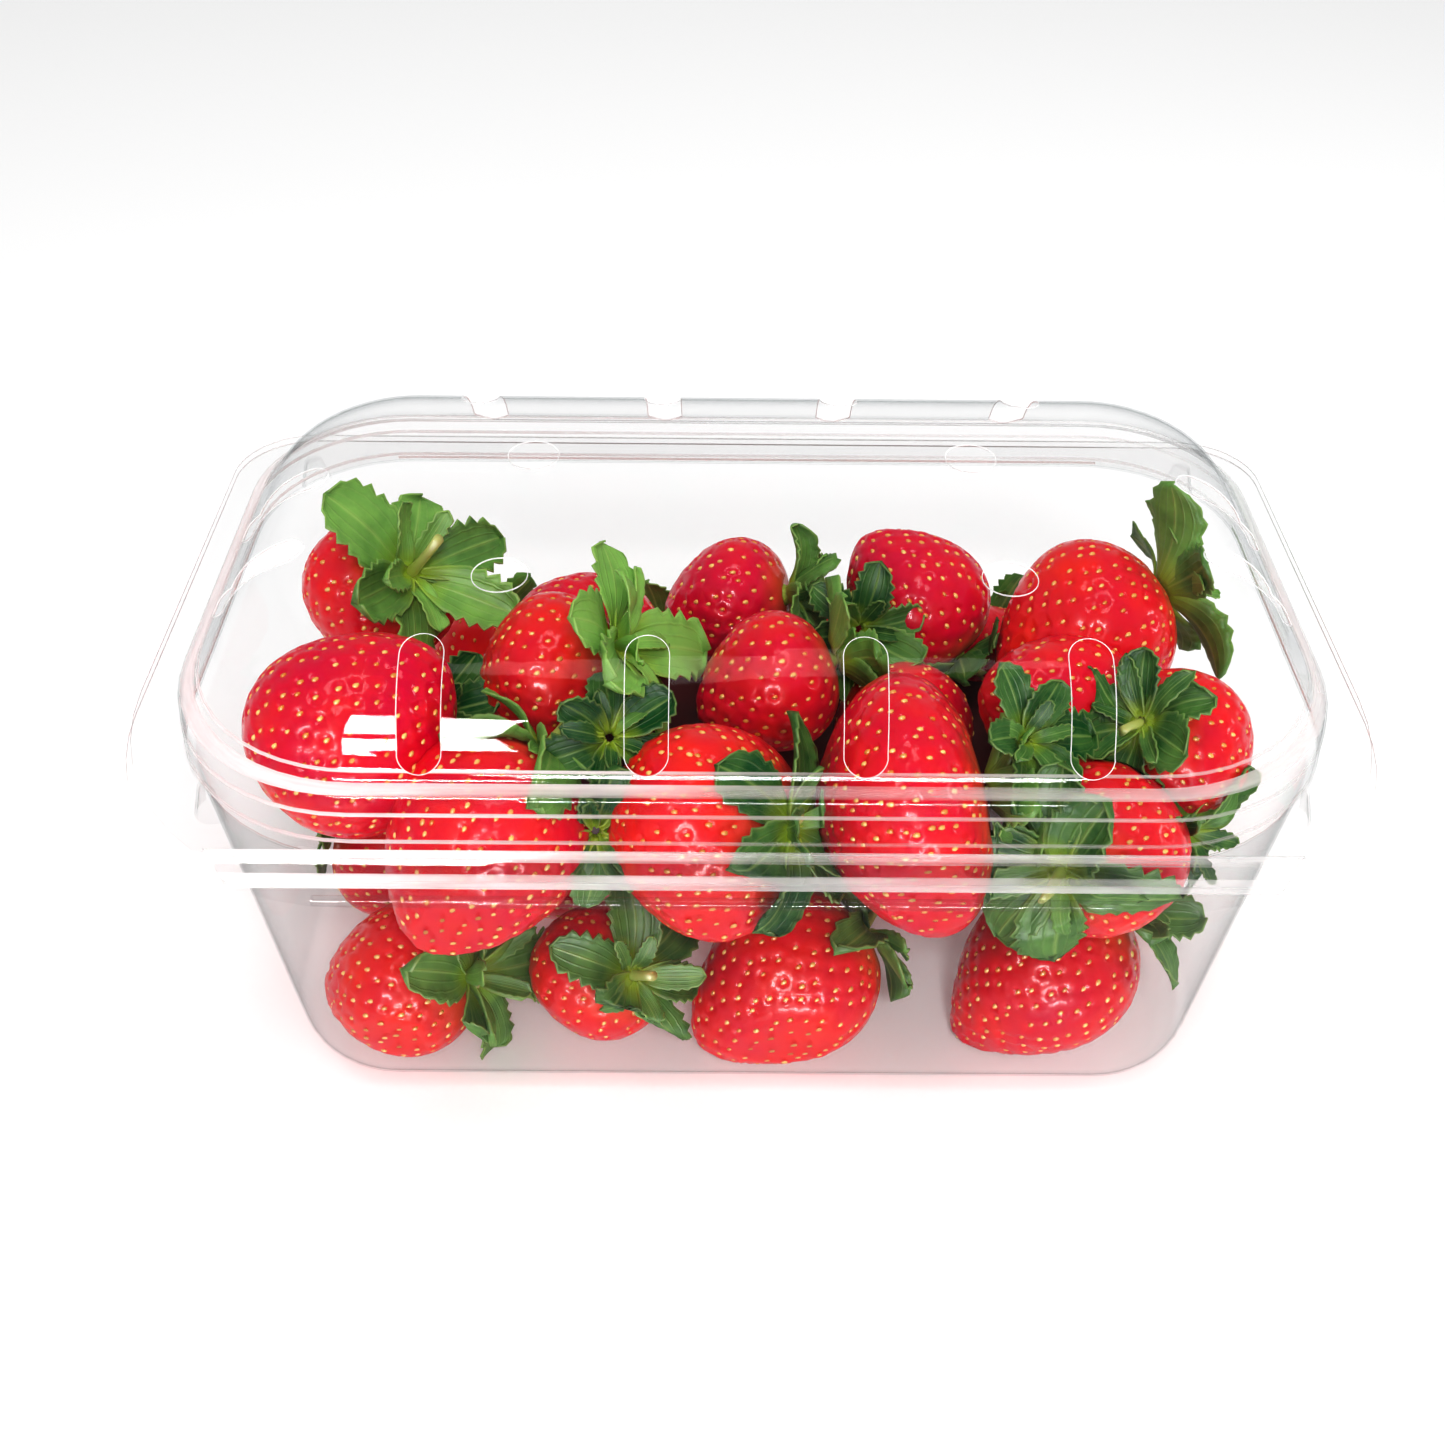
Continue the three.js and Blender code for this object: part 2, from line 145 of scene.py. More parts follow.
bm = bmesh.new()
bmesh.ops.create_grid(bm, x_segments=1, y_segments=1, size=FLOOR_SIZE * MM / 2)
floor_mesh = bpy.data.meshes.new("floor")
bm.to_mesh(floor_mesh)
bm.free()
floor = bpy.data.objects.new("floor", floor_mesh)
bpy.context.collection.objects.link(floor)
table_top = new_finish(
    "matt white light table",
    {
        "Base Color": linear("#F6F6F6"), "Roughness": 0.9,
        "Emission Color": linear("#FFFFFF"), "Emission Strength": FLOOR_GLOW,
    },
)[0]
floor_mesh.materials.append(table_top)
floor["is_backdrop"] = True
print("floor in mm:", FLOOR_SIZE)

# %% [markdown]
# ## Light
# The pack stands in a bright studio. A window in front on the left gives the lid its bright band, and a low
# wide reflector gives the pits of the fruit their sharp lights. Both are only mirrored. A soft box over the
# camera fills the shade between the berries and isn't mirrored. A wide strip above and a card at the right
# side do both. A lamp's energy comes from its radiance and its area, so it can be made larger and stays as
# bright. Clear plastic mirrors the room, and a bright room would veil the fruit, so the surrounding is a
# light grey. The plain view transform keeps the reds as pure as the fruit is, and a gamma under 1 deepens
# the darker tones.

# %% Light
WORLD_STRENGTH = 0.62
VIEW_GAMMA = 0.76
# The place of each lamp, what it faces and its size, all in millimetres, and its radiance.
LAMPS = {
    "window": ((-207, -526, 394), (-60, -43, 80), (186, 170), 110.0),
    "reflector": ((30, -560, 85), (0, -30, 45), (300, 110), 110.0),
    "softbox": ((60, -480, 560), (0, 0, 50), (120, 120), 38.0),
    "strip": ((10, -60, 980), (0, -50, 80), (470, 300), 5.5),
    "side card": ((565, 5, 195), (70, -35, 78), (90, 90), 16.0),
}


def add_lamp(name, place, target, size, radiance):
    """A rectangular lamp at place that faces target."""
    light = bpy.data.lights.new(name, "AREA")
    light.shape = "RECTANGLE"
    light.size, light.size_y = (side * MM for side in size)
    light.energy = radiance * math.pi * light.size * light.size_y
    lamp = bpy.data.objects.new(name, light)
    aim = (Vector(target) - Vector(place)).to_track_quat("-Z", "Y")
    lamp.matrix_world = Matrix.Translation(Vector(place) * MM) @ aim.to_matrix().to_4x4()
    bpy.context.collection.objects.link(lamp)
    return lamp


world = bpy.data.worlds.new("studio surrounding")
world.use_nodes = True
world.node_tree.nodes["Background"].inputs["Color"].default_value = linear("#FFFFFF")
world.node_tree.nodes["Background"].inputs["Strength"].default_value = WORLD_STRENGTH
bpy.context.scene.world = world
bpy.context.scene.view_settings.view_transform = "Standard"
bpy.context.scene.view_settings.gamma = VIEW_GAMMA
lamps = {name: add_lamp(name, *setting) for name, setting in LAMPS.items()}
lamps["window"].visible_diffuse = lamps["reflector"].visible_diffuse = False
lamps["softbox"].visible_glossy = False
print("lamps:", list(lamps))

# %% [markdown]
# ## Sizes of the pack
# The lid and the tray are drawn from one sheet of plastic each. A level of such a form is a rectangle with
# round corners, at a height, and it stands in from the edge of the rim by its inset. The front corners are
# rounder than the back ones. Each is given by its radius where the wall meets the rim, and by how much it
# tightens with every millimetre of inset.

# %% Sizes and levels
HALF_LENGTH = 95
HALF_DEPTH = 59
SHEET = 0.28
CAD_WALL = 0.6
TRAY_HEIGHT = 65
TRAY_TOP_INSET = 9.4
TRAY_BASE_INSET = 16
TRAY_FILLET = 6
TRAY_CORNERS = ((31, 1.6), (24, 0.8))
LID_FLOOR = 65.3
LID_LEDGES = [(8.9, 0), (9.1, 2.5), (9.4, 7.4), (9.8, 10.4), (12.2, 11.3), (12.6, 12.75)]
LID_RISE = 24.7
LID_CORNERS = ((30, 0.65), (24, 0.6))
TOP_INSET = 31.3
SHOULDER_RADIUS = 18.4
SHOULDER_LEAN = math.radians(68)


def tray_radii(inset):
    """The front and the back corner radius of the tray where it stands in by inset."""
    return [radius - tighter * (inset - TRAY_TOP_INSET) for radius, tighter in TRAY_CORNERS]


def lid_radii(inset):
    """The front and the back corner radius of the lid where it stands in by inset."""
    return [radius - tighter * (inset - LID_LEDGES[0][0]) for radius, tighter in LID_CORNERS]


def tray_profile(steps=8):
    """The outside of the tray from its base up, as (inset, height)."""
    fillet = [
        (TRAY_BASE_INSET + TRAY_FILLET * (1 - math.sin(a)), TRAY_FILLET * (1 - math.cos(a)))
        for a in np.linspace(0, math.pi / 2, steps)
    ]
    return [*fillet, (TRAY_TOP_INSET, TRAY_HEIGHT - CAD_WALL)]


def shoulder_profile(steps=14):
    """The round shoulder of the lid up to its flat top, as (inset, height over the lid's floor)."""
    return [
        (
            TOP_INSET - SHOULDER_RADIUS * math.sin(a),
            LID_RISE - SHOULDER_RADIUS * (1 - math.cos(a)),
        )
        for a in np.linspace(SHOULDER_LEAN, 0, steps)
    ]


print("levels of the tray:", len(tray_profile()), "and of the lid:", len(LID_LEDGES + shoulder_profile()))

# %% [markdown]
# ## Drawing a sheet up level by level
# A vacuum-formed pack is one skin. The skin starts as a circle whose vertices are moved on to the first
# level, and its edge is extruded from level to level, as the sheet is drawn over its mould. Each vertex
# carries its column number, so that an extruded vertex knows where on the outline it belongs. Ledges get
# their small round edges from a bevel of those loops.

# %% Drawn sheets
CORNER_STEPS = 12
COLUMNS = 4 * (CORNER_STEPS + 1)
EDGE_RADIUS = 0.7
EDGE_STEPS = 3


def plan_place(column, inset, radii):
    """Where a column of the outline lies on the level that stands in by inset."""
    corner, step = divmod(column, CORNER_STEPS + 1)
    at_front = corner in (0, 3)
    radius = radii[0] if at_front else radii[1]
    angle = (corner - 1 + step / CORNER_STEPS) * math.pi / 2
    side = 1 if corner in (0, 1) else -1
    middle_x = side * (HALF_LENGTH - inset - radius)
    middle_y = -HALF_DEPTH + inset + radius if at_front else HALF_DEPTH - inset - radius
    return middle_x + radius * math.cos(angle), middle_y + radius * math.sin(angle)


def of_kind(items, kind):
    """The vertices, edges or faces among the items that an operator hands back."""
    return [item for item in items if isinstance(item, kind)]


def extrude_ring(bm, edges):
    """Extrudes a ring of edges once and returns the new ring, as edges and as vertices."""
    made = bmesh.ops.extrude_edge_only(bm, edges=edges)["geom"]
    ring = of_kind(made, bmesh.types.BMVert)
    edges = of_kind(made, bmesh.types.BMEdge)
    return [edge for edge in edges if edge.verts[0] in ring and edge.verts[1] in ring], ring


def bevel_edges(bm, edges, offset, segments):
    """Bevels edges, with every setting said, and returns the new faces."""
    return bmesh.ops.bevel(
        bm, geom=edges, affect="EDGES", offset_type="OFFSET", offset=offset, segments=segments,
        profile=0.5, material=-1,
    )["faces"]


def draw_sheet(bm, levels):
    """Draws a skin over levels of (inset, height, (front radius, back radius), is a soft edge)."""
    column = bm.verts.layers.int.new("column")
    ring = bmesh.ops.create_circle(bm, segments=COLUMNS, radius=1)["verts"]
    for number, vert in enumerate(sorted(ring, key=lambda v: math.atan2(v.co.y, v.co.x))):
        vert[column] = number
    edges = bm.edges[:]
    soft = []
    for number, (inset, height, radii, is_soft) in enumerate(levels):
        if number > 0:
            edges, ring = extrude_ring(bm, edges)
        for vert in ring:
            vert.co = (*plan_place(vert[column], inset, radii), height)
        if is_soft:
            soft += edges
    bmesh.ops.contextual_create(bm, geom=edges)
    bevel_edges(bm, soft, EDGE_RADIUS, EDGE_STEPS)
    bmesh.ops.recalc_face_normals(bm, faces=bm.faces)
    # The cap that closes the last level faces the way that the levels run.
    way = levels[-1][1] - levels[0][1]
    cap = max(bm.faces, key=lambda face: face.calc_center_median().z * way)
    if cap.normal.z * way < 0:
        bmesh.ops.reverse_faces(bm, faces=bm.faces)


print("columns of a sheet:", COLUMNS)

# %% [markdown]
# ## From a bmesh to an object
# A piece is drawn in millimetres, scaled to metres once and shaded smooth, with its sharper edges kept
# crisp. Its place is in its mesh, so the object itself stays at the origin. A modifier is applied by taking
# the mesh that Blender works out from it.

# %% From a bmesh to an object
CRISP_ANGLE = math.radians(35)


def smooth_out(mesh):
    """Shades a mesh smooth, but for its sharper edges."""
    mesh.shade_smooth()
    mesh.set_sharp_from_angle(angle=CRISP_ANGLE)


def to_object(bm, name):
    """Turns a bmesh in millimetres into an object in metres and frees it."""
    bmesh.ops.scale(bm, vec=(MM, MM, MM), verts=bm.verts)
    mesh = bpy.data.meshes.new(name)
    bm.to_mesh(mesh)
    bm.free()
    smooth_out(mesh)
    piece = bpy.data.objects.new(name, mesh)
    bpy.context.collection.objects.link(piece)
    return piece


def settle(piece):
    """Applies the modifiers of a piece to its mesh."""
    bpy.context.view_layer.update()
    shown = piece.evaluated_get(bpy.context.evaluated_depsgraph_get())
    mesh = bpy.data.meshes.new_from_object(shown)
    old = piece.data
    piece.modifiers.clear()
    piece.data = mesh
    bpy.data.meshes.remove(old)
    mesh.name = piece.name
    smooth_out(mesh)


def triangles(pieces):
    """How many triangles the meshes of some pieces come to."""
    return sum(len(face.vertices) - 2 for piece in pieces for face in piece.data.polygons)


print("edges stay crisp from", round(math.degrees(CRISP_ANGLE)), "degrees")

# %% [markdown]
# ## Clear PET
# The pack is amorphous PET, vacuum-formed: clear, hard and shiny. Its wall is so thin that it bends nothing
# that shows, so it is a clear film with a mirror on its outer face, and not glass. The mirror's share grows
# where the sheet is seen from the side, by Layer Weight. It is kept low, as with a polarising filter on the
# lens, which lets the reds through. There the film is greyer too, which draws the outline. Drawn sheet is
# never quite even, so a very low bump bends the mirrored lamps a little. The scale of a noise is its number
# of waves in a metre, and 50 makes them 20 mm wide.

# %% Clear PET
MIRROR_FACE = 0.011
MIRROR_EDGE = 0.45
MIRROR_POWER = 6.0
SHEET_WAVES = 50.0

clear_pet, tree, shader = new_finish("clear PET, vacuum-formed", {})
tree.nodes.remove(shader)
place = add(tree, "TexCoord").outputs["Object"]
waves = add(tree, "TexNoise", {"Vector": place, "Scale": SHEET_WAVES, "Detail": 2.0}).outputs[0]
bump = add(tree, "Bump", {"Height": waves, "Strength": 0.25, "Distance": 0.001}).outputs[0]
gloss = {"Color": linear("#FFFFFF"), "Roughness": 0.02, "Normal": bump}
mirror = add(tree, "BsdfGlossy", gloss).outputs[0]
facing = add(tree, "LayerWeight", {"Blend": 0.5}).outputs["Facing"]
steep = add(tree, "Math", {0: facing, 1: MIRROR_POWER}, operation="POWER").outputs[0]
greys = {0: steep, 6: linear("#FDFDFD"), 7: linear("#D4D7D8")}
tint = add(tree, "Mix", greys, data_type="RGBA").outputs[2]
film = add(tree, "BsdfTransparent", {"Color": tint}).outputs[0]
share = add(tree, "MapRange", {"Value": steep, 3: MIRROR_FACE, 4: MIRROR_EDGE}).outputs[0]
outer = add(tree, "MixShader", {0: share, 1: film, 2: mirror}).outputs[0]
print("nodes of the outer face:", len(tree.nodes))

# %% [markdown]
# ## Inner face of the sheet
# A ray may pass only a few transparent faces, and a view through lid and tray meets many. So rays of the
# view leave the wall by a refraction that bends nothing, which isn't counted in that way. All other rays
# meet the plain film, so that a lamp which is only mirrored stays so behind the plastic too.

# %% Inner face
straight = add(tree, "BsdfRefraction", {"Color": tint, "Roughness": 0.0, "IOR": 1.0}).outputs[0]
rays = add(tree, "LightPath").outputs
view = {0: rays["Is Camera Ray"], 1: rays["Is Transmission Ray"]}
seen = add(tree, "Math", view, operation="MAXIMUM").outputs[0]
inner = add(tree, "MixShader", {0: seen, 1: film, 2: straight}).outputs[0]
inside = add(tree, "NewGeometry").outputs["Backfacing"]
sheet = add(tree, "MixShader", {0: inside, 1: outer, 2: inner})
sheet.name = "sheet"
tree.links.new(sheet.outputs[0], tree.nodes["Material Output"].inputs["Surface"])
print("nodes of the clear PET:", len(tree.nodes))

# %% [markdown]
# ## Hazed PET with painted reflection
# Where the sheet is stretched over a tight ledge it turns milky. The ledges also catch the lamps'
# reflection, which is painted in here as well. The haze is a mix of the clear plastic with a matt white one
# that lets light through, and it stands for both the real haze and a painted reflection. It lies in streaks
# along the ledge, 40 mm long and just over 1 mm high. It is denser on the left, where the window lamp's
# painted reflection falls.

# %% Hazed PET with painted reflection
STREAK_WAVES = (25, 25, 900)
PAINTED_SHEEN_LEFT = -55
HAZE_AND_SHEEN_DENSE = 0.85
HAZE_AND_SHEEN_THIN = 0.3

haze_and_sheen_pet = clear_pet.copy()
haze_and_sheen_pet.name = "clear PET, haze and painted reflection"
tree = haze_and_sheen_pet.node_tree
clear = tree.nodes["sheet"].outputs[0]
white = add(tree, "BsdfDiffuse", {"Color": linear("#FFFFFF")}).outputs[0]
glow = add(tree, "BsdfTranslucent", {"Color": linear("#FFFFFF")}).outputs[0]
milk_and_sheen = add(tree, "MixShader", {0: 0.5, 1: white, 2: glow}).outputs[0]
place = add(tree, "TexCoord").outputs["Object"]
streaks = add(tree, "VectorMath", {0: place, 1: STREAK_WAVES}, operation="MULTIPLY").outputs[0]
streaks = add(tree, "TexNoise", {"Vector": streaks, "Scale": 1.0, "Detail": 3.0}).outputs[0]
streaks = add(tree, "MapRange", {"Value": streaks, 1: 0.35, 2: 0.65, 3: 0.5, 4: 1.4}).outputs[0]
sideways = add(tree, "SeparateXYZ", {0: place}).outputs[0]
# Painted reflection: the white grows denser towards the left, where the window lamp's reflection falls on
# the ledges.
sheen_fade = {"Value": sideways, 1: PAINTED_SHEEN_LEFT * MM, 2: 0.0, 3: HAZE_AND_SHEEN_DENSE, 4: HAZE_AND_SHEEN_THIN}
haze_and_sheen_share = add(tree, "MapRange", sheen_fade).outputs[0]
haze_and_sheen_share = add(tree, "Math", {0: haze_and_sheen_share, 1: streaks}, operation="MULTIPLY", use_clamp=True).outputs[0]
haze_and_sheen_mix = add(tree, "MixShader", {0: haze_and_sheen_share, 1: clear, 2: milk_and_sheen})
tree.links.new(haze_and_sheen_mix.outputs[0], tree.nodes["Material Output"].inputs["Surface"])
print("nodes of the hazed PET with painted reflection:", len(tree.nodes))

# %% [markdown]
# ## Cut edge
# Where the sheet is punched or trimmed, the rough edge scatters light: it shows as a thin white line over
# the fruit and a thin grey one over a white table. So it is mostly a matt white with a little of the clear
# film, in a grit of about 1 mm, which is as fine as shows.

# %% Cut edge
GRIT_WAVES = 900.0

cut_edge = clear_pet.copy()
cut_edge.name = "clear PET, cut edge"
tree = cut_edge.node_tree
clear = tree.nodes["sheet"].outputs[0]
rough = add(tree, "BsdfDiffuse", {"Color": linear("#FFFFFF")}).outputs[0]
place = add(tree, "TexCoord").outputs["Object"]
grit = add(tree, "TexNoise", {"Vector": place, "Scale": GRIT_WAVES}).outputs[0]
grit = add(tree, "MapRange", {"Value": grit, 3: 0.6, 4: 1.0}).outputs[0]
trimmed = add(tree, "MixShader", {0: grit, 1: clear, 2: rough})
tree.links.new(trimmed.outputs[0], tree.nodes["Material Output"].inputs["Surface"])
print("nodes of the cut edge:", len(tree.nodes))

# %% [markdown]
# ## From a skin to a sheet
# A drawn skin has no thickness yet. Solidify gives it its wall, inwards from the outside, and is applied at
# once, because the lid is punched afterwards. All of the sheet is clear at first. The faces with haze and
# painted reflection, and the trimmed ones, are then picked by where they lie.

# %% From a skin to a sheet


def to_sheet(bm, name):
    """Turns a skin in millimetres into a piece of clear sheet with its wall."""
    piece = to_object(bm, name)
    wall = piece.modifiers.new("wall", "SOLIDIFY")
    wall.thickness = SHEET * MM
    wall.offset = -1
    wall.use_even_offset = True
    settle(piece)
    piece.data.materials.append(clear_pet)
    return piece


def finish_faces(piece, finish, is_chosen):
    """Gives a finish to the clear faces that is_chosen picks."""
    finishes = piece.data.materials
    if finishes.find(finish.name) < 0:
        finishes.append(finish)
    number = finishes.find(finish.name)
    chosen = [face for face in piece.data.polygons if face.material_index == 0 and is_chosen(face)]
    for face in chosen:
        face.material_index = number
    print(piece.name, "has", len(chosen), "faces of", finish.name)


print("thickness of the sheet in mm:", SHEET)

# %% [markdown]
# ## Tray
# The tray is a plain box with a round foot, walls that lean out and a flat rim. Its skin is drawn from the
# edge of the rim inwards and down to the base. The outline of the rim is trimmed, and its thin faces are
# the only upright ones so far out.

# %% Tray
RIM_CORNERS = (39, 13)
RIM_REACH = 9.2
RIM_HEIGHTS = (TRAY_HEIGHT - 2, TRAY_HEIGHT + 2)
UPRIGHT = 0.3


def is_rim_outline(face):
    """True on the thin outer faces of a flat rim."""
    middle = face.center / MM
    far_out = abs(middle.x) > HALF_LENGTH - RIM_REACH or middle.y > HALF_DEPTH - RIM_REACH
    return far_out and abs(face.normal.z) < UPRIGHT and RIM_HEIGHTS[0] < middle.z < RIM_HEIGHTS[1]


bm = bmesh.new()
levels = [(0, TRAY_HEIGHT - CAD_WALL, RIM_CORNERS, False)]
for number, (inset, height) in enumerate(reversed(tray_profile())):
    levels.append((inset, height, tray_radii(inset), number == 0))
draw_sheet(bm, levels)
tray = to_sheet(bm, "tray_sheet")
finish_faces(tray, cut_edge, is_rim_outline)
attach(tray, "tray")
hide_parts("tray")
print("tray triangles:", triangles([tray]))

# %% [markdown]
# ## Hinge fold
# Along its front edge the sheet is folded over, and the lid turns about that fold. On the outside it looks
# like a thin round bar, so it is a slim cylinder laid on its side.

# %% Hinge fold
FOLD_RADIUS = 0.75
FOLD_LENGTH = 120.5
FOLD_SIDES = 16

bm = bmesh.new()
along_front = Matrix.Translation((0, -HALF_DEPTH + FOLD_RADIUS, TRAY_HEIGHT))
bmesh.ops.create_cone(
    bm, cap_ends=True, segments=FOLD_SIDES, radius1=FOLD_RADIUS, radius2=FOLD_RADIUS, depth=FOLD_LENGTH,
    matrix=along_front @ Matrix.Rotation(math.pi / 2, 4, "Y"),
)
fold = to_object(bm, "hinge_fold")
fold.data.materials.append(clear_pet)
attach(fold, "tray")
print("fold triangles:", triangles([fold]))

# %% [markdown]
# ## Lid
# The lid is a low dome: a flat rim, a wall that rises in small ledges, a round shoulder and a flat top.
# Its skin is drawn in the same way, from the rim up. The rim has no front, as the hinge band takes its
# place there, so the skin is cut away by a plane in front of the wall.

# %% Lid skin
LID_RIM_CORNERS = (43, 13)
BAND_DEPTH = 9
FLAT = 0.05
WELD = 1e-4

bm = bmesh.new()
rim_top = LID_FLOOR + CAD_WALL
levels = [(0, rim_top, LID_RIM_CORNERS, False)]
heights = [(LID_LEDGES[0][0], CAD_WALL), *LID_LEDGES[1:], *shoulder_profile()[1:]]
for number, (inset, height) in enumerate(heights):
    levels.append((inset, LID_FLOOR + height, lid_radii(inset), number < len(LID_LEDGES)))
draw_sheet(bm, levels)
rim = [face for face in bm.faces if face.calc_center_median().z < rim_top + FLAT]
bmesh.ops.bisect_plane(
    bm, geom=list({part for face in rim for part in [face, *face.edges, *face.verts]}), dist=WELD,
    plane_co=(0, -HALF_DEPTH + BAND_DEPTH, 0), plane_no=(0, -1, 0), clear_outer=True,
)
lid = to_sheet(bm, "lid_sheet")
print("lid triangles:", triangles([lid]))

# %% [markdown]
# ## Punches for the vents
# The lid has four round holes in its top and twelve slots that run from the top over the shoulder. A real
# lid is punched, so they are cut with punches here too. A circle is pulled out to a slot and extruded to a
# bar, and each bar is set across the slope where its slot lies.

# %% Punches
SLOT_WIDTH = 6
SLOT_INNER = (28, 24.4)
SLOT_OUTER = (13.5, 11.2)
SLOTS_X = (-46, -15, 15, 46)
SLOTS_Y = (8.5, -11)
HOLES = [(35, 14.5), (-35, 14.5), (37, -17.5), (-37, -17.5)]
HOLE_RADIUS = 4
PUNCH_DEPTH = 18
PUNCH_SIDES = 32


def add_punch(bm, radius, stretch, depth, matrix):
    """A bar with round ends of the given radius, stretched towards -Y, standing across XY."""
    made = bmesh.ops.create_circle(bm, cap_ends=True, segments=PUNCH_SIDES, radius=radius)["verts"]
    for vert in made:
        if vert.co.y < -WELD:
            vert.co.y -= stretch
    face = made[0].link_faces[0]
    bmesh.ops.translate(bm, vec=(0, -radius, -depth / 3), verts=made)
    top = of_kind(bmesh.ops.extrude_face_region(bm, geom=[face])["geom"], bmesh.types.BMVert)
    bmesh.ops.translate(bm, vec=(0, 0, depth), verts=top)
    bmesh.ops.transform(bm, matrix=matrix, verts=made + top)


bm = bmesh.new()
slot_rise, slot_run = SLOT_INNER[1] - SLOT_OUTER[1], SLOT_INNER[0] - SLOT_OUTER[0]
tilt = Matrix.Rotation(math.atan2(slot_rise, slot_run), 4, "X")
stretch = math.hypot(slot_rise, slot_run) - SLOT_WIDTH
out_x, out_y = HALF_LENGTH - SLOT_INNER[0], HALF_DEPTH - SLOT_INNER[0]
quarter = math.pi / 2
slots = [(x, y, turn) for x in SLOTS_X for y, turn in ((-out_y, 0), (out_y, math.pi))]
slots += [(x, y, turn) for y in SLOTS_Y for x, turn in ((out_x, quarter), (-out_x, -quarter))]
for x, y, turn in slots:
    matrix = Matrix.Translation((x, y, LID_FLOOR + SLOT_INNER[1])) @ Matrix.Rotation(turn, 4, "Z") @ tilt
    add_punch(bm, SLOT_WIDTH / 2, stretch, PUNCH_DEPTH, matrix)
for x, y in HOLES:
    matrix = Matrix.Translation((x, y + HOLE_RADIUS, LID_FLOOR + LID_RISE))
    add_punch(bm, HOLE_RADIUS, 0, PUNCH_DEPTH / 2, matrix)
bmesh.ops.recalc_face_normals(bm, faces=bm.faces)
punches = to_object(bm, "punches")
punches.data.materials.append(cut_edge)
print("punches for", len(slots), "slots and", len(HOLES), "holes")

# %% [markdown]
# ## Vents
# One Boolean takes all punches out of the sheet at once, and hands their finish on to the walls of the cuts.
# A narrow chamfer then breaks both edges of each vent, so that its rough rim shows from all sides. The
# ledges of the wall get haze with a painted reflection.

# %% Vents
VENT_CHAMFER = 0.13
# Heights of the ledges that get haze and a painted reflection.
HAZE_AND_SHEEN_HEIGHTS = [(2.3, 2.7), (7.2, 7.6), (10.5, 11.2), (12.4, 12.7)]


def chamfer_vents(piece):
    """Breaks the edges between the clear sheet and the cut walls of its vents."""
    bm = bmesh.new()
    bm.from_mesh(piece.data)
    cut = piece.data.materials.find(cut_edge.name)
    rims = [edge for edge in bm.edges if len({face.material_index == cut for face in edge.link_faces}) == 2]
    for face in bevel_edges(bm, rims, VENT_CHAMFER * MM, 1):
        face.material_index = cut
    bm.to_mesh(piece.data)
    bm.free()
    print("rim edges of the vents:", len(rims))


def is_ledge(face):
    """True on the ledges of the lid's wall."""
    height = face.center.z / MM - LID_FLOOR
    return any(low < height < high for low, high in HAZE_AND_SHEEN_HEIGHTS)


vents = lid.modifiers.new("vents", "BOOLEAN")
vents.operation = "DIFFERENCE"
vents.solver = "EXACT"
vents.material_mode = "TRANSFER"
vents.object = punches
settle(lid)
bpy.data.objects.remove(punches)
chamfer_vents(lid)
finish_faces(lid, cut_edge, is_rim_outline)
finish_faces(lid, haze_and_sheen_pet, is_ledge)
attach(lid, "lid")
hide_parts("lid")
print("triangles of the lid with its vents:", triangles([lid]))

# %% [markdown]
# ## Lugs
# Small half-round lugs at the foot of the wall, one at each corner, keep stacked lids apart. Each is a cone
# of which a plane takes the half that lies inside the lid.

# %% Lugs
LUG_RADII = (3, 1.6)
LUG_HEIGHT = 5
LUG_SIDES = 24
DOWNWARD = -0.9

bm = bmesh.new()
foot = LID_LEDGES[0][0]
for corner in range(4):
    x, y = plan_place(corner * (CORNER_STEPS + 1) + CORNER_STEPS // 2, foot, lid_radii(foot))
    made = bmesh.ops.create_cone(
        bm, cap_ends=True, segments=LUG_SIDES, radius1=LUG_RADII[0], radius2=LUG_RADII[1],
        depth=LUG_HEIGHT, matrix=Matrix.Translation((x, y, LID_FLOOR + LUG_HEIGHT / 2)),
    )["verts"]
    bmesh.ops.bisect_plane(
        bm, geom=list({part for vert in made for part in [vert, *vert.link_edges, *vert.link_faces]}),
        dist=WELD, plane_co=(x, y, 0), plane_no=(math.copysign(1, x), math.copysign(1, y), 0),
        clear_inner=True,
    )
bases = [face for face in bm.faces if face.normal.z < DOWNWARD]
bmesh.ops.delete(bm, geom=bases, context="FACES_ONLY")
lugs = to_sheet(bm, "lid_lugs")
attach(lugs, "lid")
print("lug triangles:", triangles([lugs]))

# %% [markdown]
# ## Hinge band
# A ribbed strip joins the lid to the front edge of the tray. It is a grid whose rows are moved up to the
# height of the two ribs, and whose ends taper towards the front, so one quick loop gives its whole form. Two
# strips along its ribs get haze where it was stretched, and with it a painted reflection of the lamps.

# %% Hinge band
BAND_HALF_LENGTH = 77
BAND_END_TAPER = 7
BAND_ROWS = 48
BAND_FRONT = 2 * FOLD_RADIUS + 0.3
RIBS = [(9.2, 5.4, 1.8), (3.6, 1.0, 0.7)]
# Strips along the ribs with haze and a painted reflection of the lamps, by inset from the front.
HAZE_AND_SHEEN_INSETS = [(6.4, 9.0), (1.6, 5.0)]


def rib_lift(inset):
    """How far the ribs lift the band at inset from the front edge."""
    lift = 0
    for start, end, height in RIBS:
        along = (start - inset) / (start - end)
        if 0 < along < 1:
            lift += height * math.sin(math.pi * along)
    return lift


def is_haze_and_sheen_strip(face):
    """True on the strips of the band with haze and a painted reflection."""
    inset = face.center.y / MM + HALF_DEPTH
    return any(low < inset < high for low, high in HAZE_AND_SHEEN_INSETS)


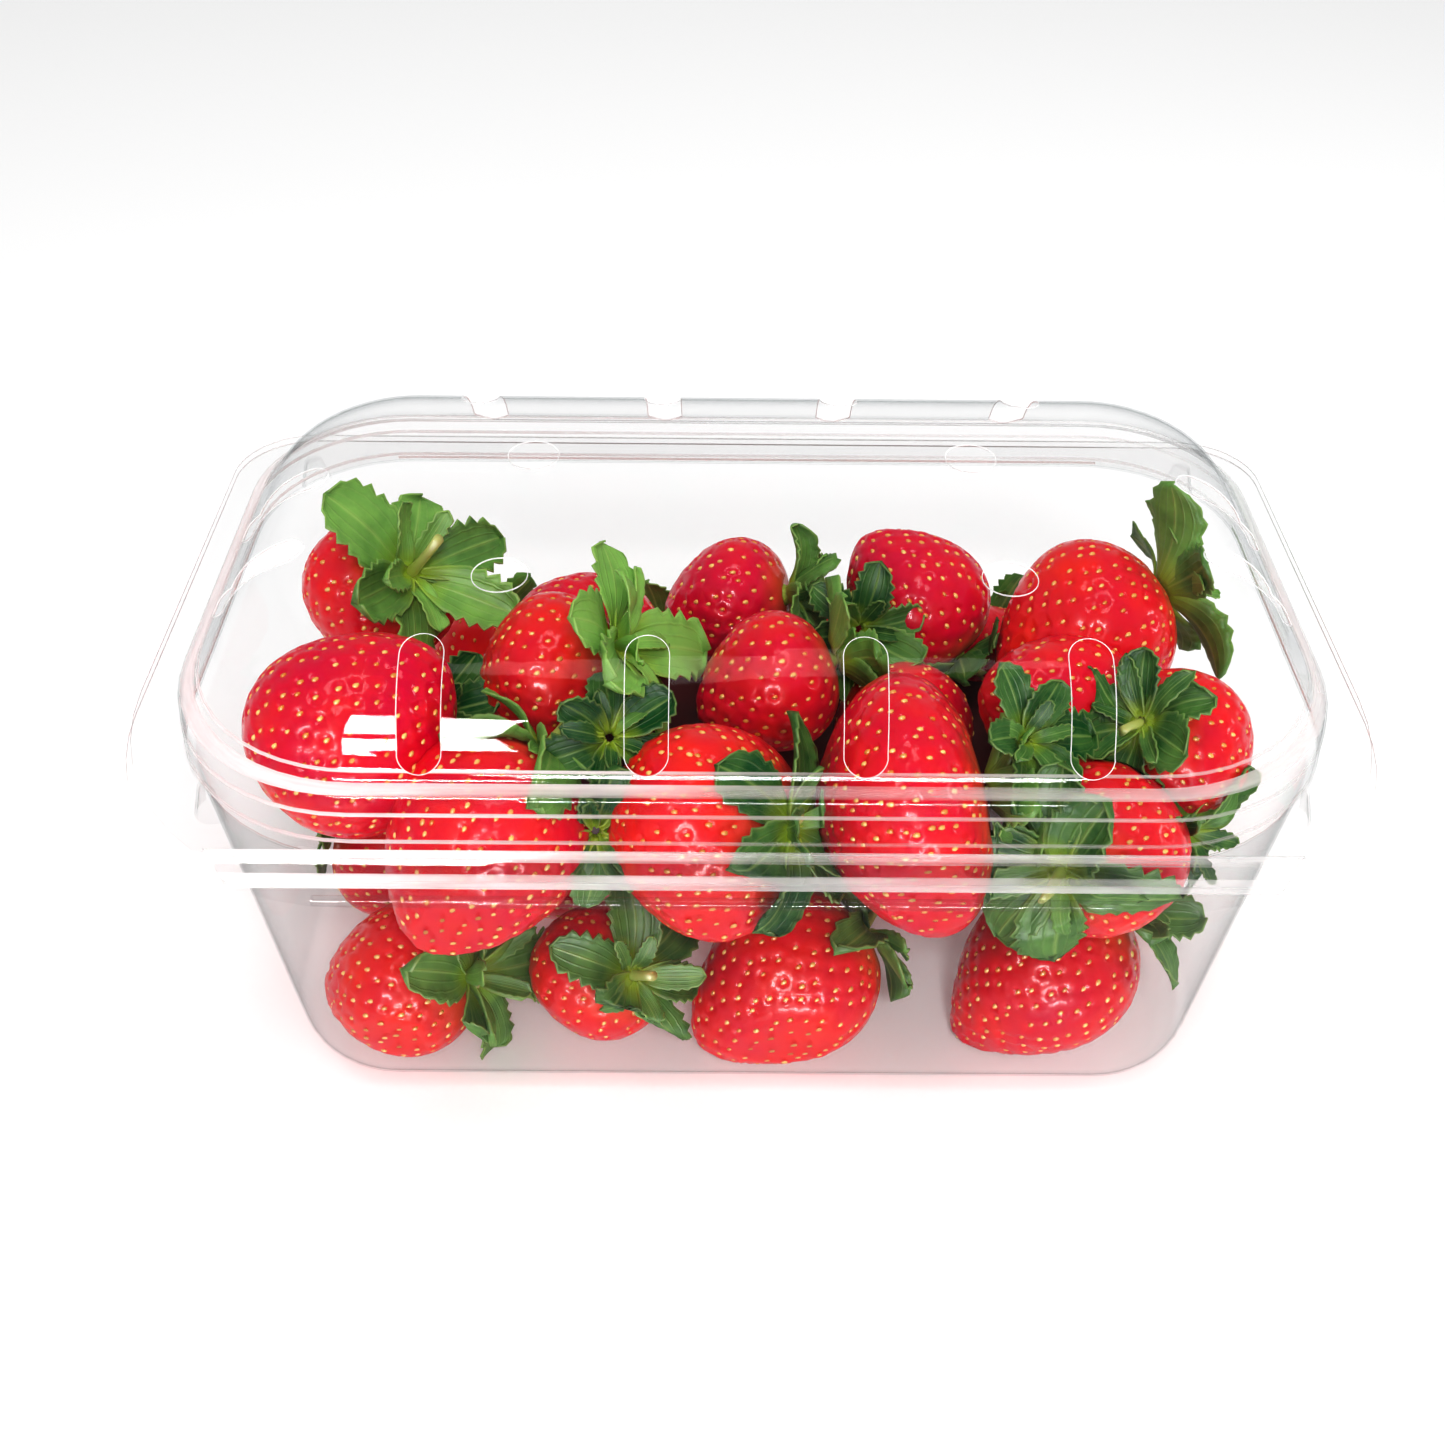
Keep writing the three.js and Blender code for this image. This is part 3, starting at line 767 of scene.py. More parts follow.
bm = bmesh.new()
for vert in bmesh.ops.create_grid(bm, x_segments=2, y_segments=BAND_ROWS, size=1)["verts"]:
    inset = BAND_FRONT + (BAND_DEPTH - BAND_FRONT) * ((vert.co.y + 1) / 2)
    half = BAND_HALF_LENGTH - BAND_END_TAPER * (1 - inset / BAND_DEPTH)
    vert.co = (vert.co.x * half, -HALF_DEPTH + inset, LID_FLOOR + CAD_WALL + rib_lift(inset))
bmesh.ops.recalc_face_normals(bm, faces=bm.faces)
if bm.faces[:][0].normal.z < 0:
    bmesh.ops.reverse_faces(bm, faces=bm.faces)
band = to_sheet(bm, "hinge_band")
finish_faces(band, haze_and_sheen_pet, is_haze_and_sheen_strip)
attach(band, "lid")
print("band triangles:", triangles([band]))

# %% [markdown]
# ## The heap
# Every berry is one row: the place of its widest part, its width and length, the compass angle and the rise
# of the way its crown points, the length of its leaves, how far they stand up, and the taper of its side,
# low for a blunt tip and high for a pointed one. Places, sizes and turns are those of the CAD heap, so the
# berries lie where its solid is, and only the tips are a little rounder. Two more columns give what only
# the eye needs: how orange the berry is, and how pale its leaves are, both from 0 to 1. The berries on top
# and at the front show whole, and those inside need less work.

# %% Berry rows
Berry = namedtuple("Berry", "x y z width length compass rise leaves lift taper orange pale")
ROWS = [
    (-64.6, 20, 58, 27, 30, -41, 43, 18, 8, 0.45, 0.45, 0.7),
    (-28.5, 17, 48.5, 28, 28, 23, -50, 0, 0, 0.45, 0.2, 0.4),
    (-31.9, -3, 59.3, 26.5, 28, -4, 32, 19, 16, 0.48, 0.55, 0.95),
    (-2.2, 25, 53, 24, 24, -10, 15, 14, 20, 0.45, 0.1, 0.45),
    (4.3, -1, 56, 24, 25, 13, 17, 13, 8, 0.45, 0.25, 0.5),
    (30.7, 23, 53.5, 26, 28, -40, -34, 12, 0, 0.42, 0.05, 0.3),
    (59.7, 14, 55.7, 31, 33, 21, 21, 19, 16, 0.45, 0.5, 0.5),
    (69.1, -14, 54.5, 24, 28, -153, 42, 14, 10, 0.45, 0.45, 0.2),
    (-63, -20, 60, 32, 34, -157, -34, 0, 0, 0.4, 0.2, 0.4),
    (-40.9, -31, 50.3, 32, 36, 50, 31, 16, -14, 0.4, 0.35, 0.6),
    (-6.3, -31, 50.9, 34, 33, -23, 24, 16, 2, 0.42, 0.55, 0.25),
    (25.2, -29, 54.5, 41.5, 26.5, 3, 13, 17, 26, 0.38, 0.3, 0.55),
    (54.1, -31, 47.7, 28, 30, -129, 22, 18, 0, 0.42, 0.4, 0.35),
    (-57.7, -30, 13.5, 27, 28, -14, 19, 17, 5, 0.42, 0.6, 0.5),
    (-25, -30, 15.2, 24, 27, -48, 39, 15, 8, 0.42, 0.45, 0.35),
    (7.9, -30, 14.2, 29, 35, 24, 25, 14, -5, 0.42, 0.5, 0.35),
    (52.4, -28, 14.1, 29.5, 39, 14, 48, 14, 10, 0.58, 0.3, 0.35),
    (52, -6, 54, 26, 30, 17, -24, 0, 0, 0.45, 0.3, 0.4),
    (27, 0, 44, 25, 28, 75, 15, 0, 0, 0.45, 0.3, 0.4),
    (-57, 25, 15, 26, 30, 100, 35, 15, 5, 0.45, 0.5, 0.4),
    (-27, 27, 14, 25, 28, 60, 25, 0, 0, 0.45, 0.35, 0.4),
    (2, 27, 14, 26, 30, 120, 20, 0, 0, 0.45, 0.6, 0.4),
    (30, 27, 15, 25, 28, 80, 40, 0, 0, 0.45, 0.25, 0.4),
    (58, 24, 15, 27, 31, 60, 40, 15, 5, 0.45, 0.45, 0.4),
    (-64, -2, 14, 25, 28, 170, 30, 0, 0, 0.45, 0.4, 0.4),
    (-33, -2, 14, 25, 27, 200, 10, 0, 0, 0.45, 0.4, 0.4),
    (0, -1, 14, 25, 27, 20, 10, 0, 0, 0.45, 0.4, 0.4),
    (32, 4, 14, 24, 27, 190, 10, 0, 0, 0.45, 0.4, 0.4),
    (64, -1, 14, 25, 28, 10, 30, 0, 0, 0.45, 0.35, 0.4),
    (-72, 2, 37, 25, 28, -160, 10, 0, 0, 0.45, 0.45, 0.35),
    (-48, 29, 34, 24, 27, 100, 10, 0, 0, 0.45, 0.5, 0.4),
    (-16, 28, 33, 24, 27, 85, 0, 13, 0, 0.45, 0.3, 0.45),
    (15, 29, 33, 24, 27, 95, 0, 0, 0, 0.45, 0.55, 0.4),
    (46, 28, 35, 24, 27, 80, 5, 13, 0, 0.45, 0.3, 0.3),
    (72, 2, 33, 25, 28, 0, 5, 13, 0, 0.45, 0.4, 0.4),
]
BERRIES = [Berry(*row) for row in ROWS]
HEAP = {"top": [*range(0, 8), 17], "front": [*range(8, 17)], "inside": [*range(18, len(BERRIES))]}
WAIST = 0.57


def heading(compass, rise):
    """A unit vector from a compass angle and a rise, both in degrees."""
    compass, rise = math.radians(compass), math.radians(rise)
    return Vector((math.cos(rise) * math.cos(compass), math.cos(rise) * math.sin(compass), math.sin(rise)))


def stand_at(place, axis):
    """Turns a frame whose Z is axis into the frame of the pack, at place."""
    turn = Vector((0, 1, 0)).rotation_difference(axis).to_matrix().to_4x4()
    return Matrix.Translation(place) @ turn @ Matrix.Rotation(-math.pi / 2, 4, "X")


def berry_matrix(row):
    """Turns a berry's own frame, whose Z runs from its tip to its crown, into the frame of the pack."""
    return stand_at((row.x, row.y, row.z), heading(row.compass, row.rise))


def crown_height(row):
    """How far the crown of a berry lies from its widest part."""
    return (1 - WAIST) * row.length


def moved(points, matrix):
    """An array of points, moved by a matrix."""
    matrix = np.array(matrix)
    return points @ matrix[:3, :3].T + matrix[:3, 3]


print("berries:", len(BERRIES))

# %% [markdown]
# ## Room in the pack
# Soft fruit gives way to the box. Each point of a berry or a leaf that would pass through the plastic is
# pressed back on to the inside of the sheet, which also gives the flat spots that real berries have where
# they lean on the wall. The room is stored as the inset of its wall at every height.

# %% Room in the pack
CLEARANCE = 0.5
TINY = 1e-9


def room_table(margin):
    """Heights, insets and both corner radii of the room, drawn in by margin."""
    rows = []
    for inset, height in tray_profile(12):
        lean = max(0, 1 - height / TRAY_FILLET)
        rows.append((height + margin * lean, inset + margin, *tray_radii(inset + margin)))
    for inset, height in LID_LEDGES[1:]:
        rows.append((LID_FLOOR + height - margin / 2, inset + margin, *lid_radii(inset + margin)))
    radius = SHOULDER_RADIUS - margin
    for angle in np.linspace(SHOULDER_LEAN, 0, 16)[1:]:
        inset = TOP_INSET - radius * math.sin(angle)
        height = LID_FLOOR + LID_RISE - SHOULDER_RADIUS + radius * math.cos(angle)
        rows.append((height, inset, *lid_radii(inset)))
    return np.array(sorted(rows)).T


def press_in(points, extra=0.0):
    """Presses points back into the room, clear of the plastic by CLEARANCE and extra."""
    heights, insets, fronts, backs = room_table(CAD_WALL + CLEARANCE + extra)
    x, y = points[:, 0].copy(), points[:, 1].copy()
    z = np.clip(points[:, 2], heights[0], heights[-1])
    inset = np.interp(z, heights, insets)
    half_x, half_y = HALF_LENGTH - inset, HALF_DEPTH - inset
    for sign, radii in ((-1, np.interp(z, heights, fronts)), (1, np.interp(z, heights, backs))):
        off_x = np.abs(x) - (half_x - radii)
        off_y = sign * y - (half_y - radii)
        reach = np.hypot(off_x, off_y)
        beyond = (off_x > 0) & (off_y > 0) & (reach > radii)
        x = np.where(beyond, np.sign(x) * (half_x - radii + off_x * radii / np.maximum(reach, TINY)), x)
        y = np.where(beyond, sign * (half_y - radii + off_y * radii / np.maximum(reach, TINY)), y)
    return np.stack([np.clip(x, -half_x, half_x), np.clip(y, -half_y, half_y), z], axis=1)


print("room heights in mm:", room_table(CAD_WALL + CLEARANCE)[0][[0, -1]])

# %% [markdown]
# ## Form of a berry
# A strawberry is a cone with a round shoulder. Its side is one formula from the tip (0) to the crown (1).
# Three soft seeded waves round it, a bend of its tip and a dent under its crown make each berry a little
# uneven. A direction from the berry's middle leads to one place on that side, which a table looks up.

# %% Form of a berry
SHOULDER = 1.35
COARSE_SWELL = (0.012, 0.035)
FINE_SWELL = 0.008
BEND = 0.035
DENT_DEPTH = 1.3
DENT_RADIUS = 3.5
DENT_FROM = 0.8
FORM_SEED = 1000


def side_radius(row, along):
    """The radius of a berry from its tip (0) to its crown (1)."""
    return row.width / 2 * np.sin(np.pi * np.clip(along, 0, 1) ** SHOULDER) ** row.taper


def berry_surface(row, number, along, angle):
    """Points of the smooth surface of a berry in its own frame."""
    draw = np.random.default_rng(FORM_SEED + number)
    swell = 1.0
    for waves in (2, 3, 5):
        size = draw.uniform(*COARSE_SWELL) if waves < 5 else FINE_SWELL
        swell = swell + size * np.cos(waves * angle + draw.uniform(0, 2 * math.pi)) * np.sin(np.pi * along)
    bend = draw.normal(0, BEND, 2) * row.width
    radius = side_radius(row, along) * swell
    away = (1 - along) ** 2
    dent = DENT_DEPTH * np.exp(-((radius / DENT_RADIUS) ** 2)) * (along > DENT_FROM)
    return np.stack([
        radius * np.cos(angle) + bend[0] * away,
        radius * np.sin(angle) + bend[1] * away,
        (along - WAIST) * row.length - dent,
    ], axis=1)


widths = 2 * side_radius(BERRIES[0], np.linspace(0, 1, 99))
print("widest part of the first berry in mm:", widths.max().round(1))

# %% [markdown]
# ## Measures on a berry
# Two small tools read the form. One gives the outward normal and the way to the tip at any place, from the
# difference between places close by. The other lists the side by the angle off the crown's axis.

# %% Measures on a berry
STEP = 0.004
POLE = 1e-4
SIDE_STEPS = 400


def berry_frame(row, number, along, angle):
    """Points of the surface with the outward normal and the direction towards the tip."""
    low, high = np.clip(along - STEP, POLE, 1), np.clip(along + STEP, 0, 1 - POLE)
    down = berry_surface(row, number, low, angle) - berry_surface(row, number, high, angle)
    before, after = (berry_surface(row, number, along, angle + turn) for turn in (-STEP, STEP))
    normal = np.cross(down, after - before)
    normal /= np.maximum(np.linalg.norm(normal, axis=1, keepdims=True), TINY)
    down /= np.maximum(np.linalg.norm(down, axis=1, keepdims=True), TINY)
    return berry_surface(row, number, along, angle), normal, down


def side_table(row):
    """The angles off the crown's axis in rising order, with the place along the side and the reach."""
    along = np.linspace(1 - POLE, POLE, SIDE_STEPS)
    radius, height = side_radius(row, along), (along - WAIST) * row.length
    return np.arctan2(radius, height), along, np.hypot(radius, height)


print("least reach of the first berry in mm:", side_table(BERRIES[0])[2].min().round(1))

# %% [markdown]
# ## Places of the achenes
# The achenes, which look like seeds, sit in pits all over the fruit. Their places follow the golden angle,
# with equal area for each, as on the real fruit, and some seeded unevenness. There are none at the crown.

# %% Places of the achenes
GOLDEN_ANGLE = math.pi * (3 - math.sqrt(5))
ACHENE_SPACING = 3.05
ACHENES_END = 0.955
ANGLE_SPREAD = 0.06
PLACE_SEED = 2000


def achene_places(row, number):
    """The share along the berry and the angle of each of its achenes."""
    along = np.linspace(0, 1, SIDE_STEPS)
    radius, height = side_radius(row, along), along * row.length
    area = np.hypot(np.diff(radius), np.diff(height)) * math.pi * (radius[1:] + radius[:-1])
    share = np.concatenate([[0], np.cumsum(area)])
    count = int(share[-1] / ACHENE_SPACING**2)
    wanted = (np.arange(count) + 0.5) / count * share[-1]
    draw = np.random.default_rng(PLACE_SEED + number)
    angle = np.arange(count) * GOLDEN_ANGLE + draw.uniform(0, 2 * math.pi)
    angle = angle + draw.normal(0, ANGLE_SPREAD, count)
    places = np.interp(wanted, share, along)
    kept = places < ACHENES_END
    return places[kept], angle[kept]


print("achenes on the first berry:", len(achene_places(BERRIES[0], 0)[0]))

# %% [markdown]
# ## Parts joined in one mesh
# Berries, achenes and leaves are each many small parts of one kind. A part is an array of points with the
# corners of its faces, taken from a small form that mesh operators made. All parts are joined in one mesh,
# with a value at each vertex wherever the material needs one.

# %% Parts in one mesh


def form_of(bm):
    """The vertices, the corners and the face sizes of a small form, from a bmesh that is then freed."""
    bm.verts.index_update()
    points = np.array([v.co for v in bm.verts])
    corners = np.array([v.index for f in bm.faces for v in f.verts])
    sizes = np.array([len(f.verts) for f in bm.faces])
    bm.free()
    return points, corners, sizes


def join_parts(name, parts, values):
    """One object of parts, each an array of points in millimetres, the corners and the face sizes."""
    mesh = bpy.data.meshes.new(name)
    counts = [len(points) for points, _, _ in parts]
    places = np.concatenate([points for points, _, _ in parts]) * MM
    mesh.vertices.add(len(places))
    mesh.vertices.foreach_set("co", places.astype(np.float32).ravel())
    starts = np.concatenate([[0], np.cumsum(counts)[:-1]])
    corners = np.concatenate([part[1] + start for part, start in zip(parts, starts)])
    mesh.loops.add(len(corners))
    mesh.loops.foreach_set("vertex_index", corners.astype(np.int32))
    sizes = np.concatenate([part[2] for part in parts])
    firsts = np.concatenate([[0], np.cumsum(sizes)[:-1]])
    mesh.polygons.add(len(sizes))
    mesh.polygons.foreach_set("loop_start", firsts.astype(np.int32))
    mesh.update(calc_edges=True)
    for key, value in values.items():
        layer = mesh.attributes.new(key, "FLOAT", "POINT")
        layer.data.foreach_set("value", np.concatenate(value).astype(np.float32))
    mesh.shade_smooth()
    piece = bpy.data.objects.new(name, mesh)
    bpy.context.collection.objects.link(piece)
    print(name, "has", len(parts), "parts and", triangles([piece]), "triangles")
    return piece


def put_in_heap(piece, material):
    """The piece rides in the tray and stands for the CAD heap."""
    piece.data.materials.append(material)
    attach(piece, "tray")
    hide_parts("strawberries")


# %% [markdown]
# ## Skin of the fruit
# A ripe strawberry is a saturated red with a wet, waxy gloss. Light goes a little way into the flesh and
# comes out red, so the skin has subsurface scattering. The colour runs from crimson to an orange red. It
# changes softly over some 8 mm, which is 125 waves in a metre, and is paler round the crown and a little
# brighter in the pits. A clear coat gives the sharp lights round the pits, and a grain finer than 1 mm
# breaks them up.

# %% Berry skin
PATCH_WAVES = 125.0
GRAIN_WAVES = 1200.0

skin, tree, shader = new_finish(
    "strawberry skin, waxy",
    {
        "Roughness": 0.35, "IOR": 1.42, "Specular IOR Level": 0.1,
        "Subsurface Weight": 0.2, "Subsurface Scale": 0.002, "Subsurface Radius": (1.0, 0.25, 0.15),
        "Coat Weight": 0.5, "Coat Roughness": 0.04,
    },
)
place = add(tree, "TexCoord").outputs["Object"]
orange, along, pit = (
    add(tree, "Attribute", attribute_name=name).outputs["Fac"] for name in ("orange", "along", "pit")
)
patches = add(tree, "TexNoise", {"Vector": place, "Scale": PATCH_WAVES, "Detail": 3.0}).outputs[0]
patches = add(tree, "MapRange", {"Value": patches, 1: 0.3, 2: 0.7, 3: -0.25, 4: 0.25}).outputs[0]
tone = add(tree, "Math", {0: orange, 1: patches}, operation="ADD", use_clamp=True).outputs[0]
near_crown = add(tree, "MapRange", {"Value": along, 1: 0.86, 2: 0.99, 3: 0.0, 4: 0.7}).outputs[0]
halo = add(tree, "MapRange", {"Value": pit, 1: 0.55, 2: 1.0, 3: 0.0, 4: 0.25}).outputs[0]
flesh = linear("#DA0040")
for share, colour in ((tone, "#F8320E"), (near_crown, "#F4663A"), (halo, "#F0541A")):
    flesh = add(tree, "Mix", {0: share, 6: flesh, 7: linear(colour)}, data_type="RGBA").outputs[2]
tree.links.new(flesh, shader.inputs["Base Color"])
grain = add(tree, "TexNoise", {"Vector": place, "Scale": GRAIN_WAVES, "Detail": 2.0}).outputs[0]
bump = add(tree, "Bump", {"Height": grain, "Strength": 0.1, "Distance": 0.0003})
tree.links.new(bump.outputs[0], shader.inputs["Normal"])
print("nodes of the skin:", len(tree.nodes))

# %% [markdown]
# ## Net of a berry
# The gloss shows every pit, so each achene gets a middle vertex and rings of vertices round it, and the
# tip, the crown and a collar round it get some more. All of them are put on a unit sphere, where the convex
# hull operator joins them to an even net of triangles.

# %% Net of a berry
MERGE_GAP = 0.012
RING_TURN = 0.3
COLLAR_RADII = (1.5, 3.5)
COLLAR_POINTS = 8
COLLAR_DEPTH = 1


def ringed(points, down, across, rings):
    """The given points and rings of points round each of them, in the plane of the surface."""
    found = [points]
    for turn, (radius, count) in enumerate(rings):
        for angle in np.arange(count) * 2 * math.pi / count + turn * RING_TURN:
            found.append(points + radius * (math.cos(angle) * down + math.sin(angle) * across))
    return np.concatenate(found)


def crown_and_tip(row):
    """Points at both ends of a berry and in the collar round its crown."""
    top = crown_height(row)
    return np.array([[0, 0, top], [0, 0, -WAIST * row.length]] + [
        [radius * math.cos(angle), radius * math.sin(angle), top - COLLAR_DEPTH]
        for radius in COLLAR_RADII for angle in np.linspace(0, 2 * math.pi, COLLAR_POINTS + 1)[:-1]
    ])


def net_over(ways):
    """A net of triangles over directions from the middle, as the hull of their points on a unit sphere."""
    bm = bmesh.new()
    for way in ways / np.linalg.norm(ways, axis=1, keepdims=True):
        bm.verts.new(way)
    bmesh.ops.remove_doubles(bm, verts=bm.verts[:], dist=MERGE_GAP)
    hull = bmesh.ops.convex_hull(bm, input=bm.verts[:])
    unused = {item for key in ("geom_interior", "geom_unused") for item in hull[key]}
    bmesh.ops.delete(bm, geom=of_kind(unused, bmesh.types.BMVert), context="VERTS")
    bmesh.ops.recalc_face_normals(bm, faces=bm.faces)
    return form_of(bm)


print("extra points of a berry:", len(crown_and_tip(BERRIES[0])))

# %% [markdown]
# ## Berries
# Each vertex of the net moves out to the berry's surface and, near an achene, down into its pit. The net is
# flat between its vertices, so all of it lies a little too deep, and a small lift makes up for that.
# Berries deep in the heap show little, so they get one ring round each achene in place of two.

# %% Berries
PIT_DEPTH = 0.75
PIT_WIDTH = 1.0
NET_LIFT = 0.15
BERRY_GAP = 0.4
FINE_RINGS = ((0.55, 7), (1.1, 10))
PLAIN_RINGS = ((0.75, 6),)
FAR_OFF = 99.0
AT_ONCE = 64
AT_POLE = 1e-3


def pit_share(points, seeds):
    """How far down in a pit each point lies, from 0 on the skin to 1 in the middle of the pit."""
    nearest = np.full(len(points), FAR_OFF)
    for start in range(0, len(seeds), AT_ONCE):
        gaps = np.linalg.norm(points[:, None] - seeds[None, start : start + AT_ONCE], axis=2)
        nearest = np.minimum(nearest, gaps.min(axis=1))
    return np.exp(-((nearest / PIT_WIDTH) ** 2))


def grow(row, number, rings):
    """A berry in the pack as points, corners and sizes of faces, with its share along and its pits."""
    seeds, normal, down = berry_frame(row, number, *achene_places(row, number))
    ring = ringed(seeds, down, np.cross(normal, down), rings)
    ways, corners, sizes = net_over(np.concatenate([ring, crown_and_tip(row)]))
    off_middle = np.hypot(ways[:, 0], ways[:, 1])
    off_axis, sides, _ = side_table(row)
    along = np.interp(np.arctan2(off_middle, ways[:, 2]), off_axis, sides)
    points, normal, _ = berry_frame(row, number, along, np.arctan2(ways[:, 1], ways[:, 0]))
    at_pole = off_middle < AT_POLE
    normal[at_pole] = np.sign(along[at_pole] - 0.5)[:, None] * np.array([0, 0, 1.0])
    pit = pit_share(points, seeds)
    points = points + normal * (NET_LIFT - PIT_DEPTH * pit)[:, None]
    return (press_in(moved(points, berry_matrix(row)), BERRY_GAP), corners, sizes), along, pit


for group, rings in (("top", FINE_RINGS), ("front", FINE_RINGS), ("inside", PLAIN_RINGS)):
    grown = [grow(BERRIES[number], number, rings) for number in HEAP[group]]
    berries = join_parts("berries_" + group, [part for part, _, _ in grown], {
        "along": [along for _, along, _ in grown],
        "pit": [pit for _, _, pit in grown],
        "orange": [np.full(len(g[1]), BERRIES[number].orange) for g, number in zip(grown, HEAP[group])],
    })
    put_in_heap(berries, skin)

# %% [markdown]
# ## Achenes
# Each achene is a small golden drop in its pit, narrower towards the tip. There are thousands, so each is
# a sphere of few faces, stretched and laid on the surface, with a size and a hue of its own.

# %% Achenes
ACHENE_HALF = (0.58, 0.37, 0.3)
ACHENE_POINT = 0.35
ACHENE_SINK = 0.42
ACHENE_SIZES = (0.82, 1.15)
ACHENE_RINGS = 4
ACHENE_SEED = 3000

achene, tree, shader = new_finish("achene, dry and golden", {"Roughness": 0.4, "Coat Weight": 0.25})
hue = add(tree, "Attribute", attribute_name="hue").outputs["Fac"]
golds = {0: hue, 6: linear("#DE8E2A"), 7: linear("#F8DC84")}
tree.links.new(add(tree, "Mix", golds, data_type="RGBA").outputs[2], shader.inputs["Base Color"])


def sow(row, number, shape):
    """The points of each achene of a berry, and its hue."""
    draw = np.random.default_rng(ACHENE_SEED + number)
    points, normal, down = berry_frame(row, number, *achene_places(row, number))
    across = np.cross(normal, down)
    size = draw.uniform(*ACHENE_SIZES, len(points))
    for k in range(len(points)):
        turn = np.stack([down[k], across[k], normal[k]])
        local = (shape * size[k]) @ turn + points[k] - normal[k] * ACHENE_SINK
        yield press_in(moved(local, berry_matrix(row))), draw.uniform(0, 1)


for group, sides in (("top", 6), ("front", 6), ("inside", 5)):
    bm = bmesh.new()
    bmesh.ops.create_uvsphere(bm, u_segments=sides, v_segments=ACHENE_RINGS, radius=1)
    ball, corners, sizes = form_of(bm)
    drop = ball * np.array(ACHENE_HALF)
    drop[:, 1] *= 1 - ACHENE_POINT * ball[:, 0]
    sown = [seed for number in HEAP[group] for seed in sow(BERRIES[number], number, drop)]
    parts = [(points, corners, sizes) for points, _ in sown]
    achenes = join_parts("achenes_" + group, parts, {"hue": [np.full(len(drop), hue) for _, hue in sown]})
    put_in_heap(achenes, achene)

# %% [markdown]
# ## Leaf green
# Crown leaves are deep green with a dull wax, yellow green at the foot and paler along the margin. Their
# veins run from the foot to the tip, beside one another, and the midrib is the palest. They follow the
# leaf's own measures along and across, which are stored at its vertices. The mottling is 4 mm wide.

# %% Leaf material
MOTTLE_WAVES = 260.0
VEINS = 3.4

leaf_green, tree, shader = new_finish(
    "strawberry leaf, waxed",
    {
        "Roughness": 0.5, "Specular IOR Level": 0.2,
        "Subsurface Weight": 0.15, "Subsurface Scale": 0.001, "Subsurface Radius": (0.5, 1.0, 0.2),
    },
)
place = add(tree, "TexCoord").outputs["Object"]
shade, along, across = (
    add(tree, "Attribute", attribute_name=name).outputs["Fac"] for name in ("shade", "along", "across")
)
mottle = add(tree, "TexNoise", {"Vector": place, "Scale": MOTTLE_WAVES, "Detail": 4.0}).outputs[0]
mottle = add(tree, "MapRange", {"Value": mottle, 1: 0.3, 2: 0.7, 3: -0.16, 4: 0.16}).outputs[0]
shade = add(tree, "Math", {0: shade, 1: mottle}, operation="ADD", use_clamp=True).outputs[0]
off_middle = add(tree, "Math", {0: across}, operation="ABSOLUTE").outputs[0]
midrib = add(tree, "MapRange", {"Value": off_middle, 1: 0.0, 2: 0.09, 3: 0.4, 4: 0.0}).outputs[0]
vein = add(tree, "Math", {0: across, 1: VEINS}, operation="MULTIPLY").outputs[0]
vein = add(tree, "Math", {0: vein, 1: 0.5}, operation="PINGPONG").outputs[0]
ridge = add(tree, "MapRange", {"Value": vein, 1: 0.0, 2: 0.16, 3: 1.0, 4: 0.0}).outputs[0]
pale = add(tree, "Math", {0: ridge, 1: 0.1}, operation="MULTIPLY").outputs[0]
pale = add(tree, "Math", {0: pale, 1: midrib}, operation="MAXIMUM").outputs[0]
foot = add(tree, "MapRange", {"Value": along, 1: 0.05, 2: 0.38, 3: 0.85, 4: 0.0}).outputs[0]
edge = add(tree, "MapRange", {"Value": off_middle, 1: 0.9, 2: 1.0, 3: 0.0, 4: 0.25}).outputs[0]
blade = linear("#125020")
for share, colour in ((shade, "#94C265"), (pale, "#B9D27C"), (foot, "#A8BE2E"), (edge, "#C9D88A")):
    blade = add(tree, "Mix", {0: share, 6: blade, 7: linear(colour)}, data_type="RGBA").outputs[2]
tree.links.new(blade, shader.inputs["Base Color"])
bump = add(tree, "Bump", {"Height": ridge, "Strength": 0.35, "Distance": 0.0003})
tree.links.new(bump.outputs[0], shader.inputs["Normal"])
print("nodes of the leaf:", len(tree.nodes))

# %% [markdown]
# ## Form of a leaf
# A leaf is a grid. Its rows are drawn in to a long oval with a few coarse teeth towards the tip. It is
# cupped and waved across, arched and curled along, twisted and bent to one side, each by its own seeded
# amount, so no two leaves are alike.

# %% Form of a leaf
LEAF_COLUMNS = 6
LEAF_ROWS = 22
LEAF_FOOT = 0.22
TEETH = 7
# Ranges from least to most.
TOOTH_CUT = (0.2, 0.42)
CUP = (0.05, 0.4)
WAVE = (-0.1, 0.1)
ARCH = (0.05, 0.2)
# Means and spreads.
CURL = (-0.06, 0.16)
TWIST = (0, 0.35)
SIDEWAYS = (0, 0.1)

bm = bmesh.new()
bmesh.ops.create_grid(bm, x_segments=LEAF_COLUMNS, y_segments=LEAF_ROWS, size=1)
leaf_points, *leaf_faces = form_of(bm)
LEAF_ACROSS = leaf_points[:, 0]
LEAF_ALONG = (leaf_points[:, 1] + 1) / 2


